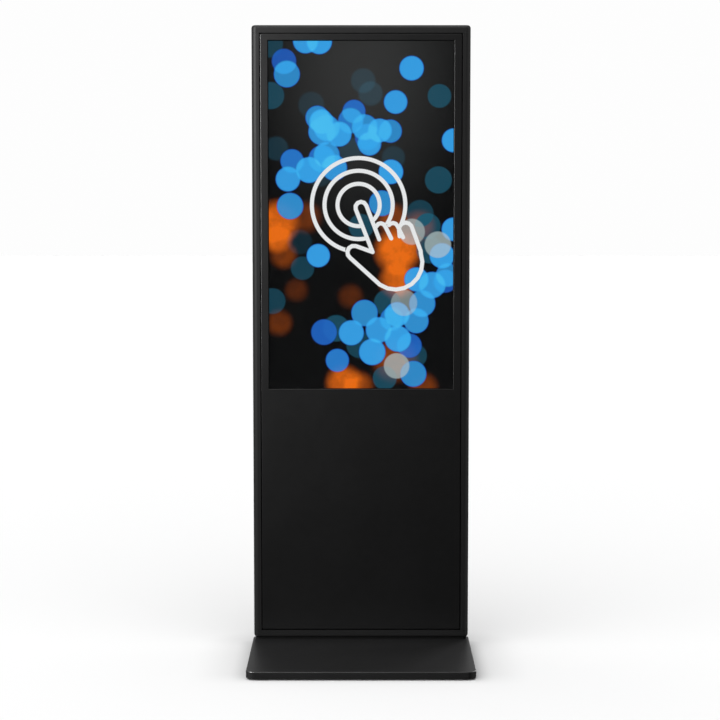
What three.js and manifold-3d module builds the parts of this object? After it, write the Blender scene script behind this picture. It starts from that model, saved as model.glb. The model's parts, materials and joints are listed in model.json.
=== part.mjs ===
// A floor-standing touchscreen kiosk: a slim body of two side rails, a top cap, a bottom rail, a
// full-height fascia and rear covers, standing on a wide low base.
// Millimetres, +Z up. The origin is at floor level under the middle of the base, and the front
// faces -Y. Inside the body group, y is the depth behind the body's front plane.
import * as THREE from "three";
import { mergeVertices } from "three/addons/utils/BufferGeometryUtils.js";
import Module from "manifold-3d";

// ---------------------------------------------------------------- driving dimensions
const OVERALL_HEIGHT = 1786;
const FIT_GAP = 0.3; // between pieces that rest on each other
const OVERLAP = 1; // of shapes that are joined into one solid or cut from it

// Base
const BASE_WIDTH = 626;
const BASE_DEPTH = 440;
const BASE_CORNER_RADIUS = 24;
const BASE_EDGE_RADIUS = 2.5;
const BASE_HEIGHT = 20;
const BASE_SKIN = 2;
const BALLAST_THICKNESS = 10;
const BALLAST_CLEARANCE = 1;
const UNDERPLATE_THICKNESS = 2;
const FOOT_HEIGHT = 4;
const FOOT_RADIUS = 20;
const FOOT_INSET = 45;
const PLINTH_HEIGHT = 6;
const PLINTH_INSET = 5;
const BOLT_RADIUS = 5;
const BOLT_HEAD_RADIUS = 8;
const BOLT_HEAD_HEIGHT = 7;
const BOLT_CLEARANCE = 0.5;
const BOLT_SPREAD = 32; // from an upright's middle to each of its two bolts
const BOLT_TIP_INSET = 1; // from a bolt's tip to the ballast plate's lower face

// Body frame
const BODY_WIDTH = 620;
const BODY_DEPTH = 48;
const BODY_REAR_INSET = 5; // from the base's rear edge to the body's rear face
const RAIL_FACE = 22;
const RAIL_FRONT_RADIUS = 14;
const RAIL_REAR_RADIUS = 10;
const RAIL_WALL = 2;
const CAP_HEIGHT = 22;
const CAP_EDGE_RADIUS = 9;
const SHADOW_GAP = 3;
const LEDGE_THICKNESS = 2.5;
const FRONT_LEDGE_WIDTH = 16;
const REAR_LEDGE_WIDTH = 12;
const LIP_HEIGHT = 14; // of the cap's and the bottom rail's lips behind the fascia's ends
const BOTTOM_RAIL_FLOOR = 3;
const BOTTOM_POCKET_RADIUS = 4; // between the bottom rail's floor and its walls
const LIP_END_CLEARANCE = 1; // from a lip's end to the rail's ledge
const LIP_TIE_WIDTH = 40; // of the two tabs that tie the bottom lip to the front wall
const LIP_TIE_THICKNESS = 2;

// Fascia and display
const FASCIA_SKIN = 2;
const FASCIA_RETURN = 14;
const FASCIA_CORNER_RADIUS = 4;
const FASCIA_SEAT = 0.5; // from its return to the ledges behind it
const WINDOW_WIDTH = 529;
const WINDOW_HEIGHT = 991;
const WINDOW_TOP_BORDER = 17;
const WINDOW_CORNER_RADIUS = 1.5;
const WINDOW_RETURN = 5;
const GASKET_THICKNESS = 1.7;
const GLASS_LAP = 10; // of gasket and glass behind the window's edge
const GLASS_THICKNESS = 3;
const CELL_LAP = 4.5;
const CELL_THICKNESS = 2;
const TRAY_LAP = 5.5;
const TRAY_THICKNESS = 11;
const TRAY_SHEET = 1.5;
const GUIDE_THICKNESS = 4;
const GUIDE_CLEARANCE = 1; // from the light guide's edge to the tray's wall

// Uprights and crossbars
const BAR_THICKNESS = 2.5;
const BAR_HEIGHT = 40;
const BAR_TAB = 10;
const BAR_END_CLEARANCE = 0.4;
const UPPER_BAR_BELOW_WINDOW_TOP = 130;
const MIDDLE_BAR_ABOVE_WINDOW_BOTTOM = 95;
const UPRIGHT_WIDTH = 40;
const UPRIGHT_DEPTH = 14;
const UPRIGHT_WALL = 2;
const UPRIGHT_OVERRUN = 20; // above the upper crossbar
const UPRIGHT_BEHIND_BAR = 0.5;
const UPRIGHT_FROM_OPENING = 2; // from the door opening's return
const BAR_ABOVE_OPENING = 4;
const UPRIGHT_FOOT_WIDTH = 90;
const UPRIGHT_FOOT_DEPTH = 34;
const UPRIGHT_FOOT_THICKNESS = 5;

// Rear covers and service door
const SHEET = 1.5;
const COVER_RECESS = 1.2; // from the rails' rear face to the covers' outer face
const COVER_CLEARANCE = 0.8;
const COVER_SEAM = 1.5;
const COVER_SPLIT_HEIGHT = 700;
const DOOR_WIDTH = 379;
const DOOR_HEIGHT = 447;
const DOOR_BOTTOM = 201.5;
const DOOR_GAP = 1.5;
const DOOR_RETURN = 8;
const OPENING_RETURN = 10;
const SLOT_WIDTH = 4;
const SLOT_PITCH = 8;
const FAN_SLOT_COUNT = 7;
const FAN_SLOT_HEIGHT = 50;
const INTAKE_SLOT_COUNT = 12;
const INTAKE_SLOT_HEIGHT = 36;
const INTAKE_ABOVE_SPLIT = 45;
const INTAKE_OFFSET = 110;

// Hinges
const HINGE_HEIGHT = 50;
const HINGE_FROM_DOOR_END = 70;
const LEAF_WIDTH = 18;
const LEAF_THICKNESS = 1.2;
const KNUCKLE_RADIUS = 2.6;
const KNUCKLE_MIDDLE = 16;
const KNUCKLE_GAP = 0.4;
const PIN_RADIUS = 1.3;
const PIN_HEAD_RADIUS = 2.3;
const PIN_HEAD_HEIGHT = 1;

// Lock
const LOCK_FROM_DOOR_EDGE = 19.5;
const LOCK_ABOVE_SUPPLY = 40; // from the power supply's top to the lock's middle
const LOCK_FLANGE_RADIUS = 11;
const LOCK_FLANGE_THICKNESS = 2;
const LOCK_BARREL_RADIUS = 8;
const LOCK_BARREL_LENGTH = 12;
const LOCK_PLUG_RADIUS = 5.2;
const LOCK_NUT_RADIUS = 12;
const LOCK_NUT_THICKNESS = 3;
const CAM_THICKNESS = 2;
const CAM_WIDTH = 12;
const CAM_REACH = 24;
const KEY_SLOT = [1.6, 4, 7];

// Connection row under the door
const CONNECTION_HEIGHT = 120;
const INLET_X = -125;
const INLET_FLANGE = [48, 28];
const INLET_BODY = [30, 24];
const INLET_SOCKET = [24, 17];
const INLET_DEPTH = 24;
const INLET_SOCKET_DEPTH = 17;
const ROCKER_X = -70;
const ROCKER_FLANGE = [22, 30];
const ROCKER_BODY = [18, 26];
const ROCKER_SIZE = [14, 22];
const ROCKER_DEPTH = 16;
const ROCKER_TILT = 10; // degrees each way
const ROCKER_FACE = 4; // from the pivot to the middle of the rocker's face
const ROCKER_PIVOT = 4.5; // in front of the frame's outer face
const ROCKER_CLEARANCE = 0.5; // round the rocker in its frame
const ROCKER_HEEL = 5; // half the height of its inner edge
const NETWORK_X = -10;
const NETWORK_FLANGE = [24, 24];
const NETWORK_BODY = [18, 18];
const NETWORK_SOCKET = [12.4, 9];
const NETWORK_DEPTH = 20;
const NETWORK_SOCKET_DEPTH = 14;
const BUTTON_X = 60;
const BUTTON_BEZEL_RADIUS = 11;
const BUTTON_BODY_RADIUS = 8;
const BUTTON_RADIUS = 6;
const BUTTON_BODY_DEPTH = 18;
const BUTTON_LENGTH = 8;
const BUTTON_TRAVEL = 2;
const BUTTON_PROUD = 1; // of the bezel
const FLANGE_THICKNESS = 2;
const FLANGE_CORNER_RADIUS = 2;
const PANEL_CUT_CLEARANCE = 0.4;

// Equipment
const PLATE_BELOW_EQUIPMENT = 10;
const PLATE_HEIGHT = 230;
const PLATE_DEPTH = 18;
const PLATE_FLANGE = 12;
const SUPPLY_SIZE = [120, 20, 160];
const SUPPLY_X = -120;
const PLAYER_SIZE = [160, 20, 170];
const PLAYER_X = 90;
const EQUIPMENT_ABOVE_DOOR_BOTTOM = 23.5;
const CONTROLLER_SIZE = [180, 13, 180];
const CONTROLLER_ABOVE_WINDOW_BOTTOM = 297;
const TOUCH_BOARD_SIZE = [90, 4, 30];
const SPEAKER_SIZE = [34, 20, 90];
const SPEAKER_BELOW_BAR = 5.5; // from the lower crossbar to a speaker's top
const SPEAKER_FROM_UPRIGHT = 4;
const SPEAKER_CONE_RADIUS = 14;
const SPEAKER_CONE_DEPTH = 6;
const SPEAKER_SLOTS = 7;
const SPEAKER_SLOT = [24, 3];
const SPEAKER_SLOT_PITCH = 9;
const FAN_SIZE = 60;
const FAN_THICKNESS = 10;
const FAN_CORNER_RADIUS = 4;
const FAN_FROM_COVER = 0.8;
const FAN_BORE_RADIUS = 28;
const FAN_HUB_RADIUS = 12;
const FAN_HUB_INSET = 1; // from the frame's rear face
const FAN_BASE = 1.6;
const FAN_ARM_WIDTH = 3;
const FAN_BLADES = 7;
const FAN_BLADE_LENGTH = 15.5;
const FAN_BLADE_WIDTH = 11;
const FAN_BLADE_THICKNESS = 1.2;
const FAN_BLADE_PITCH = 35; // degrees
const FAN_OFFSET = 110;
const FAN_BELOW_BODY_TOP = 96;
const CABLE_RADIUS = 3.5;
const VIDEO_CABLE_RADIUS = 3;
const CABLE_END_GAP = 1; // below the controller board
const LOOM_FROM_COVER = 16; // from the rear cover's outer face to the mains loom's end at the rocker

// Straight steps: in half a corner's arc, and in half a turn of a round bar.
const ARC_STEPS = 3;
const ROUND_STEPS = 9;
const SMALL_ROUND_STEPS = 6;
const EDGE_STEPS = 4; // round a slab's edge
const HEXAGON_STEPS = 3;
const CABLE_ROUND_STEPS = 4;

// ---------------------------------------------------------------- derived places
const baseTop = FOOT_HEIGHT + BASE_HEIGHT;
const ballastTop = baseTop - BASE_SKIN - FIT_GAP;
const bodyBottom = baseTop + PLINTH_HEIGHT;
const bodyTop = OVERALL_HEIGHT;
const bodyFrontY = BASE_DEPTH / 2 - BODY_REAR_INSET - BODY_DEPTH;
const railInner = BODY_WIDTH / 2 - RAIL_FACE;
const railBottom = bodyBottom + CAP_HEIGHT + FIT_GAP;
const railTop = bodyTop - CAP_HEIGHT - FIT_GAP;
const fasciaWidth = 2 * (railInner - SHADOW_GAP);
const fasciaBottom = bodyBottom + CAP_HEIGHT + SHADOW_GAP;
const fasciaTop = bodyTop - CAP_HEIGHT - SHADOW_GAP;
const windowTop = fasciaTop - WINDOW_TOP_BORDER;
const windowBottom = windowTop - WINDOW_HEIGHT;
const windowMiddle = (windowTop + windowBottom) / 2;
const frontLedge = FASCIA_RETURN + FASCIA_SEAT;
const coverBack = BODY_DEPTH - COVER_RECESS;
const coverFront = coverBack - SHEET;
const rearLedge = coverFront - FIT_GAP - LEDGE_THICKNESS;
const gasketFront = WINDOW_RETURN + FIT_GAP;
const glassFront = gasketFront + GASKET_THICKNESS + FIT_GAP;
const cellFront = glassFront + GLASS_THICKNESS + FIT_GAP;
const trayFront = cellFront + CELL_THICKNESS + FIT_GAP;
const trayBack = trayFront + TRAY_THICKNESS;
const barFront = trayBack + FIT_GAP;
const uprightFront = barFront + BAR_THICKNESS + UPRIGHT_BEHIND_BAR;
const doorMiddle = DOOR_BOTTOM + DOOR_HEIGHT / 2;
const doorTop = DOOR_BOTTOM + DOOR_HEIGHT;
const openingHalf = DOOR_WIDTH / 2 + DOOR_GAP;
const uprightX = openingHalf + SHEET + UPRIGHT_FROM_OPENING + UPRIGHT_WIDTH / 2;
const upperBarZ = windowTop - UPPER_BAR_BELOW_WINDOW_TOP;
const middleBarZ = windowBottom + MIDDLE_BAR_ABOVE_WINDOW_BOTTOM;
const lowerBarZ = doorTop + DOOR_GAP + SHEET + BAR_ABOVE_OPENING + BAR_HEIGHT / 2;
const uprightTop = upperBarZ + BAR_HEIGHT / 2 + UPRIGHT_OVERRUN;
const uprightFootBottom = bodyBottom + BOTTOM_RAIL_FLOOR + FIT_GAP;
const uprightFootFront = uprightFront + UPRIGHT_DEPTH - UPRIGHT_FOOT_DEPTH;
const boltDepth = uprightFootFront + (UPRIGHT_FOOT_DEPTH - UPRIGHT_DEPTH) / 2;
const hingeX = openingHalf;
const hingeDepth = coverBack + FIT_GAP + KNUCKLE_RADIUS;
const lockX = -DOOR_WIDTH / 2 + LOCK_FROM_DOOR_EDGE;
const fanZ = bodyTop - FAN_BELOW_BODY_TOP;
const fanBack = coverFront - FAN_FROM_COVER;
const equipmentFront = PLATE_DEPTH + SHEET + FIT_GAP;
const equipmentBottom = DOOR_BOTTOM + EQUIPMENT_ABOVE_DOOR_BOTTOM;
const lockZ = equipmentBottom + SUPPLY_SIZE[2] + LOCK_ABOVE_SUPPLY;
const plateBottom = equipmentBottom - PLATE_BELOW_EQUIPMENT;
const controllerBottom = windowBottom + CONTROLLER_ABOVE_WINDOW_BOTTOM;

// ---------------------------------------------------------------- finishes
const FINISHES = {
  blackPaint: { color: 0x1b1b1c, roughness: 0.42, metalness: 0.3 },
  blackAluminium: { color: 0x202021, roughness: 0.34, metalness: 0.6 },
  blackSteel: { color: 0x19191a, roughness: 0.55, metalness: 0.2 },
  bareSteel: { color: 0x9b9ea1, roughness: 0.4, metalness: 0.9 },
  zincSteel: { color: 0xb5b7b4, roughness: 0.35, metalness: 0.95 },
  rubber: { color: 0x0d0d0e, roughness: 0.85, metalness: 0 },
  blackPlastic: { color: 0x151516, roughness: 0.5, metalness: 0 },
  greenBoard: { color: 0x1d5a38, roughness: 0.5, metalness: 0 },
  screen: { color: 0x0e1824, roughness: 0.2, metalness: 0 },
  glass: { color: 0x1a2228, roughness: 0.05, metalness: 0, transparent: true, opacity: 0.35 },
  clearPlastic: { color: 0xdfe6e8, roughness: 0.1, metalness: 0 },
  cableJacket: { color: 0x111112, roughness: 0.6, metalness: 0 },
  redRocker: { color: 0x7d1512, roughness: 0.35, metalness: 0 },
};

// ---------------------------------------------------------------- solids
const wasm = await Module();
wasm.setup();

function toSolid(geometry) {
  const bare = geometry.clone();
  bare.deleteAttribute("normal");
  bare.deleteAttribute("uv");
  const merged = mergeVertices(bare, 1e-4);
  return new wasm.Manifold(
    new wasm.Mesh({
      numProp: 3,
      vertProperties: new Float32Array(merged.attributes.position.array),
      triVerts: new Uint32Array(merged.index.array),
    }),
  );
}

function toGeometry(solid) {
  const mesh = solid.getMesh();
  const geometry = new THREE.BufferGeometry();
  geometry.setAttribute("position", new THREE.BufferAttribute(mesh.vertProperties, 3));
  geometry.setIndex(new THREE.BufferAttribute(mesh.triVerts, 1));
  geometry.computeVertexNormals();
  return geometry;
}

function join(first, ...others) {
  return toGeometry(others.reduce((sum, other) => sum.add(toSolid(other)), toSolid(first)));
}

function cut(first, ...tools) {
  return toGeometry(tools.reduce((rest, tool) => rest.subtract(toSolid(tool)), toSolid(first)));
}

function piece(name, geometry, finish) {
  const mesh = new THREE.Mesh(geometry, new THREE.MeshStandardMaterial(FINISHES[finish]));
  mesh.name = name;
  return mesh;
}

function group(x, y, z, ...children) {
  const made = new THREE.Group();
  made.position.set(x, y, z);
  made.add(...children);
  return made;
}

// ---------------------------------------------------------------- outlines
// A rectangle with rounded corners, with its middle at (x, y).
function roundedRectangle(width, height, radius, x = 0, y = 0, Outline = THREE.Shape) {
  const outline = new Outline();
  const right = x + width / 2 - radius;
  const left = x - width / 2 + radius;
  const top = y + height / 2 - radius;
  const bottom = y - height / 2 + radius;
  outline.absarc(right, bottom, radius, -Math.PI / 2, 0);
  outline.absarc(right, top, radius, 0, Math.PI / 2);
  outline.absarc(left, top, radius, Math.PI / 2, Math.PI);
  outline.absarc(left, bottom, radius, Math.PI, 1.5 * Math.PI);
  outline.closePath();
  return outline;
}

function polygon(points, Outline = THREE.Shape) {
  return new Outline(points.map(([x, y]) => new THREE.Vector2(x, y)));
}

function rectangle(width, height, x = 0, y = 0, Outline = THREE.Shape) {
  const w = width / 2;
  const h = height / 2;
  return polygon([[x - w, y - h], [x + w, y - h], [x + w, y + h], [x - w, y + h]], Outline);
}

function disc(radius, x = 0, y = 0, Outline = THREE.Shape) {
  const outline = new Outline();
  outline.absarc(x, y, radius, 0, 2 * Math.PI);
  return outline;
}

// The body's plan: tight corners behind, wider ones in front, all moved in by `inset`.
function bodyPlan(inset) {
  const half = BODY_WIDTH / 2 - inset;
  const frontRadius = RAIL_FRONT_RADIUS - inset;
  const rearRadius = RAIL_REAR_RADIUS - inset;
  const front = inset;
  const rear = BODY_DEPTH - inset;
  const plan = new THREE.Shape();
  plan.absarc(half - frontRadius, front + frontRadius, frontRadius, -Math.PI / 2, 0);
  plan.absarc(half - rearRadius, rear - rearRadius, rearRadius, 0, Math.PI / 2);
  plan.absarc(rearRadius - half, rear - rearRadius, rearRadius, Math.PI / 2, Math.PI);
  plan.absarc(frontRadius - half, front + frontRadius, frontRadius, Math.PI, 1.5 * Math.PI);
  plan.closePath();
  return plan;
}

// ---------------------------------------------------------------- plain stock
// An outline in plan, carried up from `bottom` to `top`.
function column(outline, bottom, top, steps = ARC_STEPS) {
  const options = { depth: top - bottom, bevelEnabled: false, curveSegments: steps };
  return new THREE.ExtrudeGeometry(outline, options).translate(0, 0, bottom);
}

// An outline seen from the front (x across, z up), carried back from depth `front` to `back`.
function panel(outline, front, back, steps = ARC_STEPS) {
  const options = { depth: back - front, bevelEnabled: false, curveSegments: steps };
  const plate = new THREE.ExtrudeGeometry(outline, options);
  return plate.rotateX(Math.PI / 2).translate(0, back, 0);
}

function block(width, depth, height, x, y, z) {
  return new THREE.BoxGeometry(width, depth, height).translate(x, y, z);
}

// A round bar along z, or along y when it lies in depth.
function uprightBar(radius, bottom, top, steps = ROUND_STEPS) {
  return column(disc(radius), bottom, top, steps);
}

function depthBar(radius, front, back, steps = ROUND_STEPS) {
  return panel(disc(radius), front, back, steps);
}

// A slab from z = 0 to `height` whose upper or lower edge is rounded all round.
function edgedSlab(outline, height, radius, upperEdge) {
  const slab = new THREE.ExtrudeGeometry(outline, {
    depth: height - radius,
    bevelEnabled: true,
    bevelThickness: radius,
    bevelSize: radius,
    bevelOffset: -radius,
    bevelSegments: EDGE_STEPS,
    curveSegments: ARC_STEPS,
  });
  const reach = 4 * Math.max(BASE_WIDTH, BODY_WIDTH);
  if (upperEdge) return cut(slab, block(reach, reach, 2 * radius, 0, 0, -radius));
  slab.translate(0, 0, radius);
  return cut(slab, block(reach, reach, 2 * radius, 0, 0, height + radius));
}

// The tools that cut a row of slots through the rear covers' sheet. `step` is [x, z] from one slot
// to the next, and (x, z) is the row's middle.
function slotRow(x, z, count, [stepX, stepZ], width, height) {
  return Array.from({ length: count }, (_, i) => {
    const from = i - (count - 1) / 2;
    return block(width, 3 * SHEET, height, x + from * stepX, coverFront, z + from * stepZ);
  });
}

// A round tube of `radius` along a smooth curve through the points.
function cable(points, radius, steps) {
  const route = new THREE.CatmullRomCurve3(points.map((p) => new THREE.Vector3(...p)));
  return new THREE.ExtrudeGeometry(disc(radius), {
    steps,
    extrudePath: route,
    curveSegments: CABLE_ROUND_STEPS,
    bevelEnabled: false,
  });
}

// ---------------------------------------------------------------- base
const boltPlaces = [-1, 1].flatMap((side) =>
  [-1, 1].map((end) => [side * uprightX + end * BOLT_SPREAD, boltDepth]),
);

// Clearance holes for the four base bolts, from `bottom` to `top`, moved back by `y`.
function boltHoles(bottom, top, y = 0) {
  const radius = BOLT_RADIUS + BOLT_CLEARANCE;
  return boltPlaces.map(([x, depth]) =>
    uprightBar(radius, bottom, top, SMALL_ROUND_STEPS).translate(x, depth + y, 0),
  );
}

function makeBase() {
  const pocketWidth = BASE_WIDTH - 2 * BASE_SKIN;
  const pocketDepth = BASE_DEPTH - 2 * BASE_SKIN;
  const pocketRadius = BASE_CORNER_RADIUS - BASE_SKIN;
  const pocket = roundedRectangle(pocketWidth, pocketDepth, pocketRadius);
  const outer = roundedRectangle(BASE_WIDTH, BASE_DEPTH, BASE_CORNER_RADIUS);
  const holes = boltHoles(FOOT_HEIGHT, baseTop + PLINTH_HEIGHT, bodyFrontY);
  const cover = cut(
    edgedSlab(outer, BASE_HEIGHT, BASE_EDGE_RADIUS, true).translate(0, 0, FOOT_HEIGHT),
    column(pocket, 0, baseTop - BASE_SKIN),
    ...holes,
  );
  const filling = roundedRectangle(
    pocketWidth - 2 * BALLAST_CLEARANCE,
    pocketDepth - 2 * BALLAST_CLEARANCE,
    pocketRadius - BALLAST_CLEARANCE,
  );
  const ballast = cut(column(filling, ballastTop - BALLAST_THICKNESS, ballastTop), ...holes);
  const underplateBottom = FOOT_HEIGHT + FIT_GAP;
  const underplate = column(filling, underplateBottom, underplateBottom + UNDERPLATE_THICKNESS);
  const base = group(
    0, 0, 0,
    piece("base_cover", cover, "blackPaint"),
    piece("ballast_plate", ballast, "bareSteel"),
    piece("base_underplate", underplate, "blackSteel"),
  );
  const footX = BASE_WIDTH / 2 - FOOT_INSET;
  const footY = BASE_DEPTH / 2 - FOOT_INSET;
  for (const [name, x, y] of [
    ["foot_front_left", -footX, -footY],
    ["foot_front_right", footX, -footY],
    ["foot_rear_left", -footX, footY],
    ["foot_rear_right", footX, footY],
  ]) {
    base.add(group(x, y, 0, piece(name, uprightBar(FOOT_RADIUS, 0, FOOT_HEIGHT), "rubber")));
  }
  return base;
}

function makePlinth() {
  const bar = column(bodyPlan(PLINTH_INSET), baseTop + FIT_GAP, bodyBottom - FIT_GAP);
  return piece("plinth", cut(bar, ...boltHoles(baseTop, bodyBottom)), "blackSteel");
}

// Each bolt's head sits on its upright's foot plate, and its shank ends inside the ballast plate.
function makeBolts() {
  const headBottom = uprightFootBottom + UPRIGHT_FOOT_THICKNESS + FIT_GAP;
  const tip = ballastTop - BALLAST_THICKNESS + BOLT_TIP_INSET;
  return boltPlaces.map(([x, depth], i) => {
    const head = uprightBar(BOLT_HEAD_RADIUS, headBottom, headBottom + BOLT_HEAD_HEIGHT, HEXAGON_STEPS);
    const shank = uprightBar(BOLT_RADIUS, tip, headBottom + OVERLAP, SMALL_ROUND_STEPS);
    return group(x, depth, 0, piece(`base_bolt_${i + 1}`, join(head, shank), "zincSteel"));
  });
}

// ---------------------------------------------------------------- body frame
// The right-hand side rail's section: a hollow with a rounded outer face, a ledge behind the
// fascia's edge and a ledge that carries the rear covers.
function railSection() {
  const outer = BODY_WIDTH / 2;
  const rear = BODY_DEPTH;
  const ledgeBack = frontLedge + LEDGE_THICKNESS;
  const rearLedgeBack = rearLedge + LEDGE_THICKNESS;
  const section = new THREE.Shape();
  section.moveTo(railInner, 0);
  section.lineTo(outer - RAIL_FRONT_RADIUS, 0);
  section.absarc(outer - RAIL_FRONT_RADIUS, RAIL_FRONT_RADIUS, RAIL_FRONT_RADIUS, -Math.PI / 2, 0);
  section.absarc(outer - RAIL_REAR_RADIUS, rear - RAIL_REAR_RADIUS, RAIL_REAR_RADIUS, 0, Math.PI / 2);
  section.lineTo(railInner, rear);
  section.lineTo(railInner, rearLedgeBack);
  section.lineTo(railInner - REAR_LEDGE_WIDTH, rearLedgeBack);
  section.lineTo(railInner - REAR_LEDGE_WIDTH, rearLedge);
  section.lineTo(railInner, rearLedge);
  section.lineTo(railInner, ledgeBack);
  section.lineTo(railInner - FRONT_LEDGE_WIDTH, ledgeBack);
  section.lineTo(railInner - FRONT_LEDGE_WIDTH, frontLedge);
  section.lineTo(railInner, frontLedge);
  section.closePath();
  const hollow = new THREE.Path();
  const frontRadius = RAIL_FRONT_RADIUS - RAIL_WALL;
  const rearRadius = RAIL_REAR_RADIUS - RAIL_WALL;
  hollow.moveTo(railInner + RAIL_WALL, RAIL_WALL);
  hollow.absarc(outer - RAIL_FRONT_RADIUS, RAIL_FRONT_RADIUS, frontRadius, -Math.PI / 2, 0);
  hollow.absarc(outer - RAIL_REAR_RADIUS, rear - RAIL_REAR_RADIUS, rearRadius, 0, Math.PI / 2);
  hollow.lineTo(railInner + RAIL_WALL, rear - RAIL_WALL);
  hollow.closePath();
  section.holes.push(hollow);
  return section;
}

// The lip that closes the shadow gap behind the fascia's upper or lower end.
function fasciaLip(bottom, top) {
  const width = 2 * (railInner - FRONT_LEDGE_WIDTH - LIP_END_CLEARANCE);
  const middle = frontLedge + LEDGE_THICKNESS / 2;
  return block(width, LEDGE_THICKNESS, top - bottom, 0, middle, (bottom + top) / 2);
}

function makeTopCap() {
  const edge = Math.min(CAP_EDGE_RADIUS, RAIL_REAR_RADIUS - 1);
  const bottom = bodyTop - CAP_HEIGHT;
  const outer = edgedSlab(bodyPlan(0), CAP_HEIGHT, edge, true);
  const inner = edgedSlab(bodyPlan(RAIL_WALL), CAP_HEIGHT - RAIL_WALL, edge - RAIL_WALL, true);
  const shell = cut(outer, inner, column(bodyPlan(RAIL_WALL), -OVERLAP, OVERLAP));
  const lip = fasciaLip(bottom - LIP_HEIGHT, bodyTop - RAIL_WALL / 2);
  return piece("top_cap", join(shell.translate(0, 0, bottom), lip), "blackAluminium");
}

function makeBottomRail() {
  const edge = Math.min(CAP_EDGE_RADIUS, RAIL_REAR_RADIUS - 1);
  const outer = edgedSlab(bodyPlan(0), CAP_HEIGHT, edge, false);
  const pocket = edgedSlab(bodyPlan(RAIL_WALL), CAP_HEIGHT, BOTTOM_POCKET_RADIUS, false);
  const shell = cut(outer, pocket.translate(0, 0, BOTTOM_RAIL_FLOOR)).translate(0, 0, bodyBottom);
  const wallTop = bodyBottom + CAP_HEIGHT;
  const lip = fasciaLip(wallTop - LIP_TIE_THICKNESS, wallTop + LIP_HEIGHT);
  const lipBack = frontLedge + LEDGE_THICKNESS;
  const ties = [-1, 1].map((side) =>
    block(
      LIP_TIE_WIDTH, lipBack - OVERLAP, LIP_TIE_THICKNESS,
      side * (railInner - FRONT_LEDGE_WIDTH - LIP_TIE_WIDTH), (lipBack + OVERLAP) / 2,
      wallTop - LIP_TIE_THICKNESS / 2,
    ),
  );
  const rail = cut(join(shell, lip, ...ties), ...boltHoles(baseTop, bodyBottom + CAP_HEIGHT / 2));
  return piece("bottom_rail", rail, "blackAluminium");
}

// A crossbar: a flat bar behind the display with a tab turned back at each end.
function makeCrossbar(name, z) {
  const half = railInner - BAR_END_CLEARANCE;
  const back = barFront + BAR_THICKNESS;
  const outline = polygon([
    [-half, barFront], [half, barFront], [half, back + BAR_TAB],
    [half - BAR_THICKNESS, back + BAR_TAB], [half - BAR_THICKNESS, back],
    [BAR_THICKNESS - half, back], [BAR_THICKNESS - half, back + BAR_TAB], [-half, back + BAR_TAB],
  ]);
  return piece(name, column(outline, z - BAR_HEIGHT / 2, z + BAR_HEIGHT / 2), "blackSteel");
}

// An upright: a square tube, open at the top, welded to a foot plate with two bolt holes.
function makeUpright(name, side) {
  const middle = uprightFront + UPRIGHT_DEPTH / 2;
  const plateTop = uprightFootBottom + UPRIGHT_FOOT_THICKNESS;
  const tube = rectangle(UPRIGHT_WIDTH, UPRIGHT_DEPTH, 0, middle);
  const bore = [UPRIGHT_WIDTH - 2 * UPRIGHT_WALL, UPRIGHT_DEPTH - 2 * UPRIGHT_WALL];
  tube.holes.push(rectangle(bore[0], bore[1], 0, middle, THREE.Path));
  const plate = block(
    UPRIGHT_FOOT_WIDTH, UPRIGHT_FOOT_DEPTH, UPRIGHT_FOOT_THICKNESS,
    0, uprightFootFront + UPRIGHT_FOOT_DEPTH / 2, uprightFootBottom + UPRIGHT_FOOT_THICKNESS / 2,
  );
  const whole = join(column(tube, plateTop - OVERLAP, uprightTop), plate);
  const holes = [-1, 1].map((end) =>
    uprightBar(
      BOLT_RADIUS + BOLT_CLEARANCE, uprightFootBottom - OVERLAP, plateTop + OVERLAP,
      SMALL_ROUND_STEPS,
    ).translate(end * BOLT_SPREAD, boltDepth, 0),
  );
  return group(side * uprightX, 0, 0, piece(name, cut(whole, ...holes), "blackSteel"));
}

function makeFrame() {
  const rail = column(railSection(), railBottom, railTop);
  const leftRail = piece("side_rail_left", rail, "blackAluminium");
  // The left rail is the same extrusion stood on its other end.
  leftRail.rotation.y = Math.PI;
  leftRail.position.z = railBottom + railTop;
  return [
    leftRail,
    piece("side_rail_right", rail, "blackAluminium"),
    makeTopCap(),
    makeBottomRail(),
    makeUpright("upright_left", -1),
    makeUpright("upright_right", 1),
    makeCrossbar("crossbar_upper", upperBarZ),
    makeCrossbar("crossbar_middle", middleBarZ),
    makeCrossbar("crossbar_lower", lowerBarZ),
  ];
}

// ---------------------------------------------------------------- fascia and display
// A flat ring between two rounded rectangles round the window's middle.
function windowRing(outerLap, innerLap, front, back) {
  const ring = windowOutline(outerLap);
  ring.holes.push(windowOutline(innerLap, THREE.Path));
  return panel(ring, front, back);
}

function windowOutline(lap, Outline = THREE.Shape) {
  const width = WINDOW_WIDTH + 2 * lap;
  const height = WINDOW_HEIGHT + 2 * lap;
  return roundedRectangle(width, height, WINDOW_CORNER_RADIUS + Math.max(lap, 0), 0, windowMiddle,
    Outline);
}

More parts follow.
